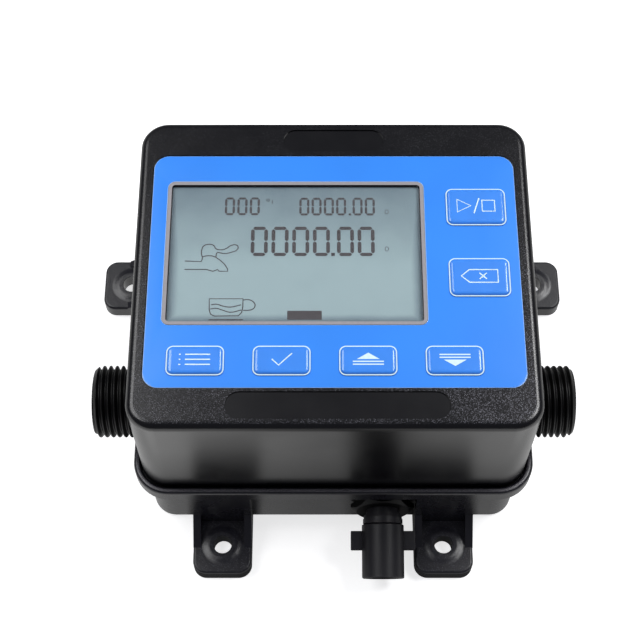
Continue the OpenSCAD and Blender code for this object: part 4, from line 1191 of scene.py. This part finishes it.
@dataclass
class SegmentDisplay:
    """The display's front film and what it shows: rows of zeros and plain pictograms.

    The figures are laid out by the photograph's eye on the liquid crystal glass, and share and
    shift bring them up that line of sight to the film.
    """

    plan: Plan = Plan(70.7, 43.4, 0.3, -10.9, 5.0)
    base_z: float = 71.75
    base_t: float = 0.11
    level: float = 71.87
    film_t: float = 0.04
    tip_share: float = 0.4
    point_share: float = 1 / 1.1
    sign_w: float = 0.31
    mark_w: float = 0.2
    drop_w: float = 0.16
    share: float = 0.995
    shift: Point = (-0.02, -1.2)
    rows: Sequence[DigitRow] = (
        DigitRow(-31.3, 18.7, 2.88, 5.9, 3.58, 0.66, 3),
        DigitRow(-9.9, 18.6, 2.88, 5.9, 3.53, 0.66, 6, 4, 1.2),
        DigitRow(-23.6, 5.3, 4.82, 9.55, 5.88, 1.04, 6, 4, 0.96),
    )

    def shown(self, name: str, mould: Mould) -> None:
        """Brings figures up to the film and sets them in the scene.

        Args:
            name: The piece's name.
            mould: The figures.
        """
        bmesh.ops.scale(mould.bm, vec=(self.share, self.share, 1.0), verts=mould.bm.verts)
        bmesh.ops.translate(mould.bm, vec=(*self.shift, 0.0), verts=mould.bm.verts)
        placed(name, mould, [Finish.SEGMENT], "case")

    def film(self) -> None:
        """Builds the film that lies in the cover's opening, under the figures."""
        mould = Mould()
        mould.plate(self.plan, self.base_z, self.base_t, 2)
        placed("display_film", mould, [Finish.GLASS], "case")

    def segment(self, mould: Mould, middle: Point, length: float, stroke: float, upright: bool) -> None:
        """Lays one segment with pointed ends."""
        size = (stroke, length) if upright else (length, stroke)
        mould.plate(Plan(*size, stroke * self.tip_share, *middle), self.level, self.film_t, 1)

    def zero(self, mould: Mould, row: DigitRow, left: float) -> None:
        """Lays the six lit segments of a zero.

        Args:
            mould: The mould that takes them.
            row: The row's sizes.
            left: Where the digit starts.
        """
        stroke, half = row.stroke, row.height / 2
        flat_room, upright_room, gap = 0.62 * stroke, 0.85 * stroke, 0.1 * stroke
        for y in (row.low + stroke / 2, row.low + row.height - stroke / 2):
            self.segment(mould, (left + row.width / 2, y), row.width - 2 * flat_room, stroke, False)
        tall = half - upright_room - gap
        for x in (left + stroke / 2, left + row.width - stroke / 2):
            for side in (-1, 1):
                self.segment(mould, (x, row.low + half + side * (gap + tall / 2)), tall, stroke, True)

    def numbers(self) -> None:
        """Builds every row of zeros with its decimal point."""
        mould = Mould()
        for row in self.rows:
            left = row.left
            for index in range(row.digits):
                if row.point_after and index == row.point_after:
                    x = left - row.pitch + row.width + row.point_room * self.point_share
                    dot = Plan(row.stroke, row.stroke, 0.0, x, row.low + row.stroke / 2)
                    mould.plate(dot, self.level, self.film_t)
                    left += row.point_room
                self.zero(mould, row, left)
                left += row.pitch
        self.shown("display_numbers", mould)

    def signs(self) -> None:
        """Builds the tap, the cup, the unit marks and the level bar."""
        mould = Mould()
        tap = [[(-42.1, 3.7), (-37.5, 3.5), (-37.2, 4.3), (-37.2, 5.0)],
               [(-33.4, 4.9), (-32.1, 3.9), (-30.8, 2.6), (-30.0, 1.2), (-29.9, 0.4), (-32.3, 0.4),
                (-32.8, 1.0), (-33.3, 0.7), (-34.1, 0.4), (-36.0, 1.0), (-42.1, 1.0)]]
        lever = [[(-37.2, 5.0), (-37.5, 6.1), (-37.4, 7.5), (-37.0, 8.5), (-35.6, 9.1), (-34.1, 8.7),
                  (-33.5, 7.7), (-32.2, 7.3), (-30.6, 7.7), (-29.2, 8.7), (-27.8, 8.9), (-27.2, 8.3),
                  (-27.5, 7.3), (-29.1, 6.5), (-30.9, 6.1), (-32.1, 6.3), (-33.0, 6.4), (-33.4, 4.9)],
                 [(-37.2, 5.0), (-36.3, 5.3), (-34.4, 5.3), (-33.4, 4.9)]]
        cup = [(-34.8, -8.3), (-25.4, -8.3), (-25.4, -11.0), (-25.7, -12.6), (-26.6, -13.6),
               (-33.2, -13.7), (-34.3, -13.1), (-34.7, -11.8), (-34.8, -8.3)]
        handle = [(-25.4, -8.7), (-23.8, -8.6), (-22.4, -9.4), (-22.0, -10.5), (-22.6, -11.5),
                  (-23.9, -11.9), (-25.3, -11.9)]
        waves = [[(-34.2, -10.2), (-32.8, -10.0), (-30.9, -10.6), (-29.0, -10.9), (-25.9, -10.2)],
                 [(-34.4, -11.5), (-32.8, -11.3), (-30.9, -11.9), (-28.9, -12.5), (-25.8, -11.8)]]
        marks = [[(-18.9 + 0.42 * math.cos(a), 23.7 + 0.42 * math.sin(a))
                  for a in (math.tau * i / 10 for i in range(11))],
                 [(-17.7, 23.7), (-17.7, 22.5)]]
        for strokes, width, smooth in ((tap, self.sign_w, False), (lever, self.sign_w, True),
                                       ([cup], self.sign_w, False), ([handle, *waves], self.sign_w, True),
                                       (marks, self.mark_w, False)):
            mould.draw(strokes, width, self.level, self.film_t, smooth)
        for plan in (Plan(9.5, 0.36, 0.0, -30.05, -14.85), Plan(9.6, 2.8, 0.0, -8.25, -13.45)):
            mould.plate(plan, self.level, self.film_t)
        for x, y in ((15.2, 19.6), (15.0, 7.4)):
            drop = [(x, y + 0.9), (x + 0.45, y - 0.05), (x, y - 0.5), (x - 0.45, y - 0.05), (x, y + 0.9)]
            mould.draw([drop], self.drop_w, self.level, self.film_t, True)
        self.shown("display_signs", mould)

    def build(self) -> None:
        """Builds the film and all that it shows."""
        self.film()
        self.numbers()
        self.signs()


@dataclass
class PressPanel:
    """The overlay with its window, display and six keys."""

    film: Plan = Plan(104.06, 73.66, 4.38, 0.05, -0.08)
    window: Plan = Plan(73.2, 45.9, 2.0, -10.9, 5.0)
    pane: Plan = Plan(73.0, 45.7, 0.2)
    border_gap: float = 0.02
    row_cap: Plan = Plan(15.7, 8.8, 1.9)
    row_first: float = -37.3
    row_pitch: float = 23.45
    row_y: float = -28.95
    side_cap: Plan = Plan(17.0, 12.0, 1.9)
    side_x: float = 40.5
    side_ys: Point = (19.3, -3.4)
    lean: float = -0.5

    def keys(self) -> list[PressKey]:
        """Lists the six keys with their places and signs.

        Returns:
            The keys.
        """
        row = (("menu", KeySign.LIST), ("set", KeySign.TICK), ("up", KeySign.UP), ("down", KeySign.DOWN))
        side = (("run_stop", KeySign.RUN_STOP), ("clear", KeySign.RESET))
        keys = []
        for i, (name, sign) in enumerate(row):
            cap = replace(self.row_cap, x=self.row_first + i * self.row_pitch + self.lean, y=self.row_y)
            keys.append(PressKey(f"{name}_key", f"{name}_button", cap, sign, lean=self.lean))
        for (name, sign), y in zip(side, self.side_ys):
            cap = replace(self.side_cap, x=self.side_x, y=y)
            keys.append(PressKey(f"{name}_key", f"{name}_button", cap, sign))
        return keys

    def build(self) -> None:
        """Builds the panel."""
        keys = self.keys()
        FaceFilm(self.film, self.window, [(key.plan.x - key.lean, key.plan.y) for key in keys]).build()
        pane = replace(self.pane, x=self.window.x, y=self.window.y)
        DisplayWindow(pane, self.window.grown(-self.border_gap)).build()
        SegmentDisplay().build()
        for key in keys:
            key.build()


# Studio


@dataclass(frozen=True)
class Softbox:
    """A large soft lamp. Lengths in metres."""

    name: str
    place: Place
    target: Place
    width: float
    height: float
    watts: float

    def hang(self) -> None:
        """Puts the lamp in the scene, facing its target."""
        data = bpy.data.lights.new(self.name, "AREA")
        data.shape = "RECTANGLE"
        data.size, data.size_y, data.energy = self.width, self.height, self.watts
        lamp = linked(self.name, data)
        lamp.location = self.place
        way = Vector(self.target) - Vector(self.place)
        lamp.rotation_euler = way.to_track_quat("-Z", "Y").to_euler()


@dataclass
class Studio:
    """A white floor, soft lamps, a plain world and the photograph's camera."""

    camera_place: Place = (-0.00395, -0.1941, 0.4295)
    camera_way: Place = (0.0, 0.44620, -0.89493)
    lens_mm: float = 81.5625
    world_light: float = 0.152
    world_tone: Colour = (0.92, 0.94, 1.08)
    floor_size_mm: float = 3000.0
    floor_z_mm: float = -0.03
    lamps: Sequence[Softbox] = (
        Softbox("left_box", (-0.6, 0.24, 1.0), (0.0, 0.0, 0.04), 0.85, 0.6, 7.4),
        Softbox("right_box", (0.6, 0.26, 1.0), (0.0, 0.0, 0.04), 0.7, 0.3, 8.4),
    )

    def floor(self) -> None:
        """Lays the floor just under the meter."""
        mould = Mould()
        mould.sheet(Plan(self.floor_size_mm, self.floor_size_mm, 0.0), self.floor_z_mm)
        bmesh.ops.scale(mould.bm, vec=(MM, MM, MM), verts=mould.bm.verts)
        floor = mould.cast("floor")
        floor.data.materials.append(Finish.PAPER.material())

    def world(self) -> None:
        """Sets a plain world that the camera and glass see as white."""
        desk = NodeDesk("plain_world", "World")
        room, white = (desk.add("Background", {"Color": tone, "Strength": light})
                       for tone, light in ((self.world_tone, self.world_light), ((1.0, 1.0, 1.0), 1.0)))
        desk.choose(desk.rays("Camera", "Transmission"), room, white)
        bpy.context.scene.world = desk.owner

    def camera(self) -> None:
        """Sets the camera at the photograph's angle."""
        data = bpy.data.cameras.new("photo_camera")
        data.lens, data.sensor_width, data.sensor_fit = self.lens_mm, 36.0, "HORIZONTAL"
        data.clip_start, data.clip_end = 0.01, 20.0
        eye = linked("photo_camera", data)
        eye.location = self.camera_place
        eye.rotation_euler = Vector(self.camera_way).to_track_quat("-Z", "Y").to_euler()
        bpy.context.scene.camera = eye

    def build(self) -> None:
        """Sets up the whole studio."""
        self.camera()
        self.floor()
        self.world()
        for lamp in self.lamps:
            lamp.hang()
        bpy.context.scene.view_settings.view_transform = "Standard"


def main() -> None:
    """Builds the meter's looks."""
    logging.basicConfig(level=logging.INFO, format="%(message)s")
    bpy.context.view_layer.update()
    Studio().build()
    dress_carried_nodes()
    ThreadedPipe("inlet_thread_pipe", "inlet_pipe", turned=True).build()
    ThreadedPipe("outlet_thread_pipe", "outlet_pipe", turned=False).build()
    EarCollars().build()
    TurnSleeve().build()
    PressPanel().build()


if __name__ == "__main__":
    main()
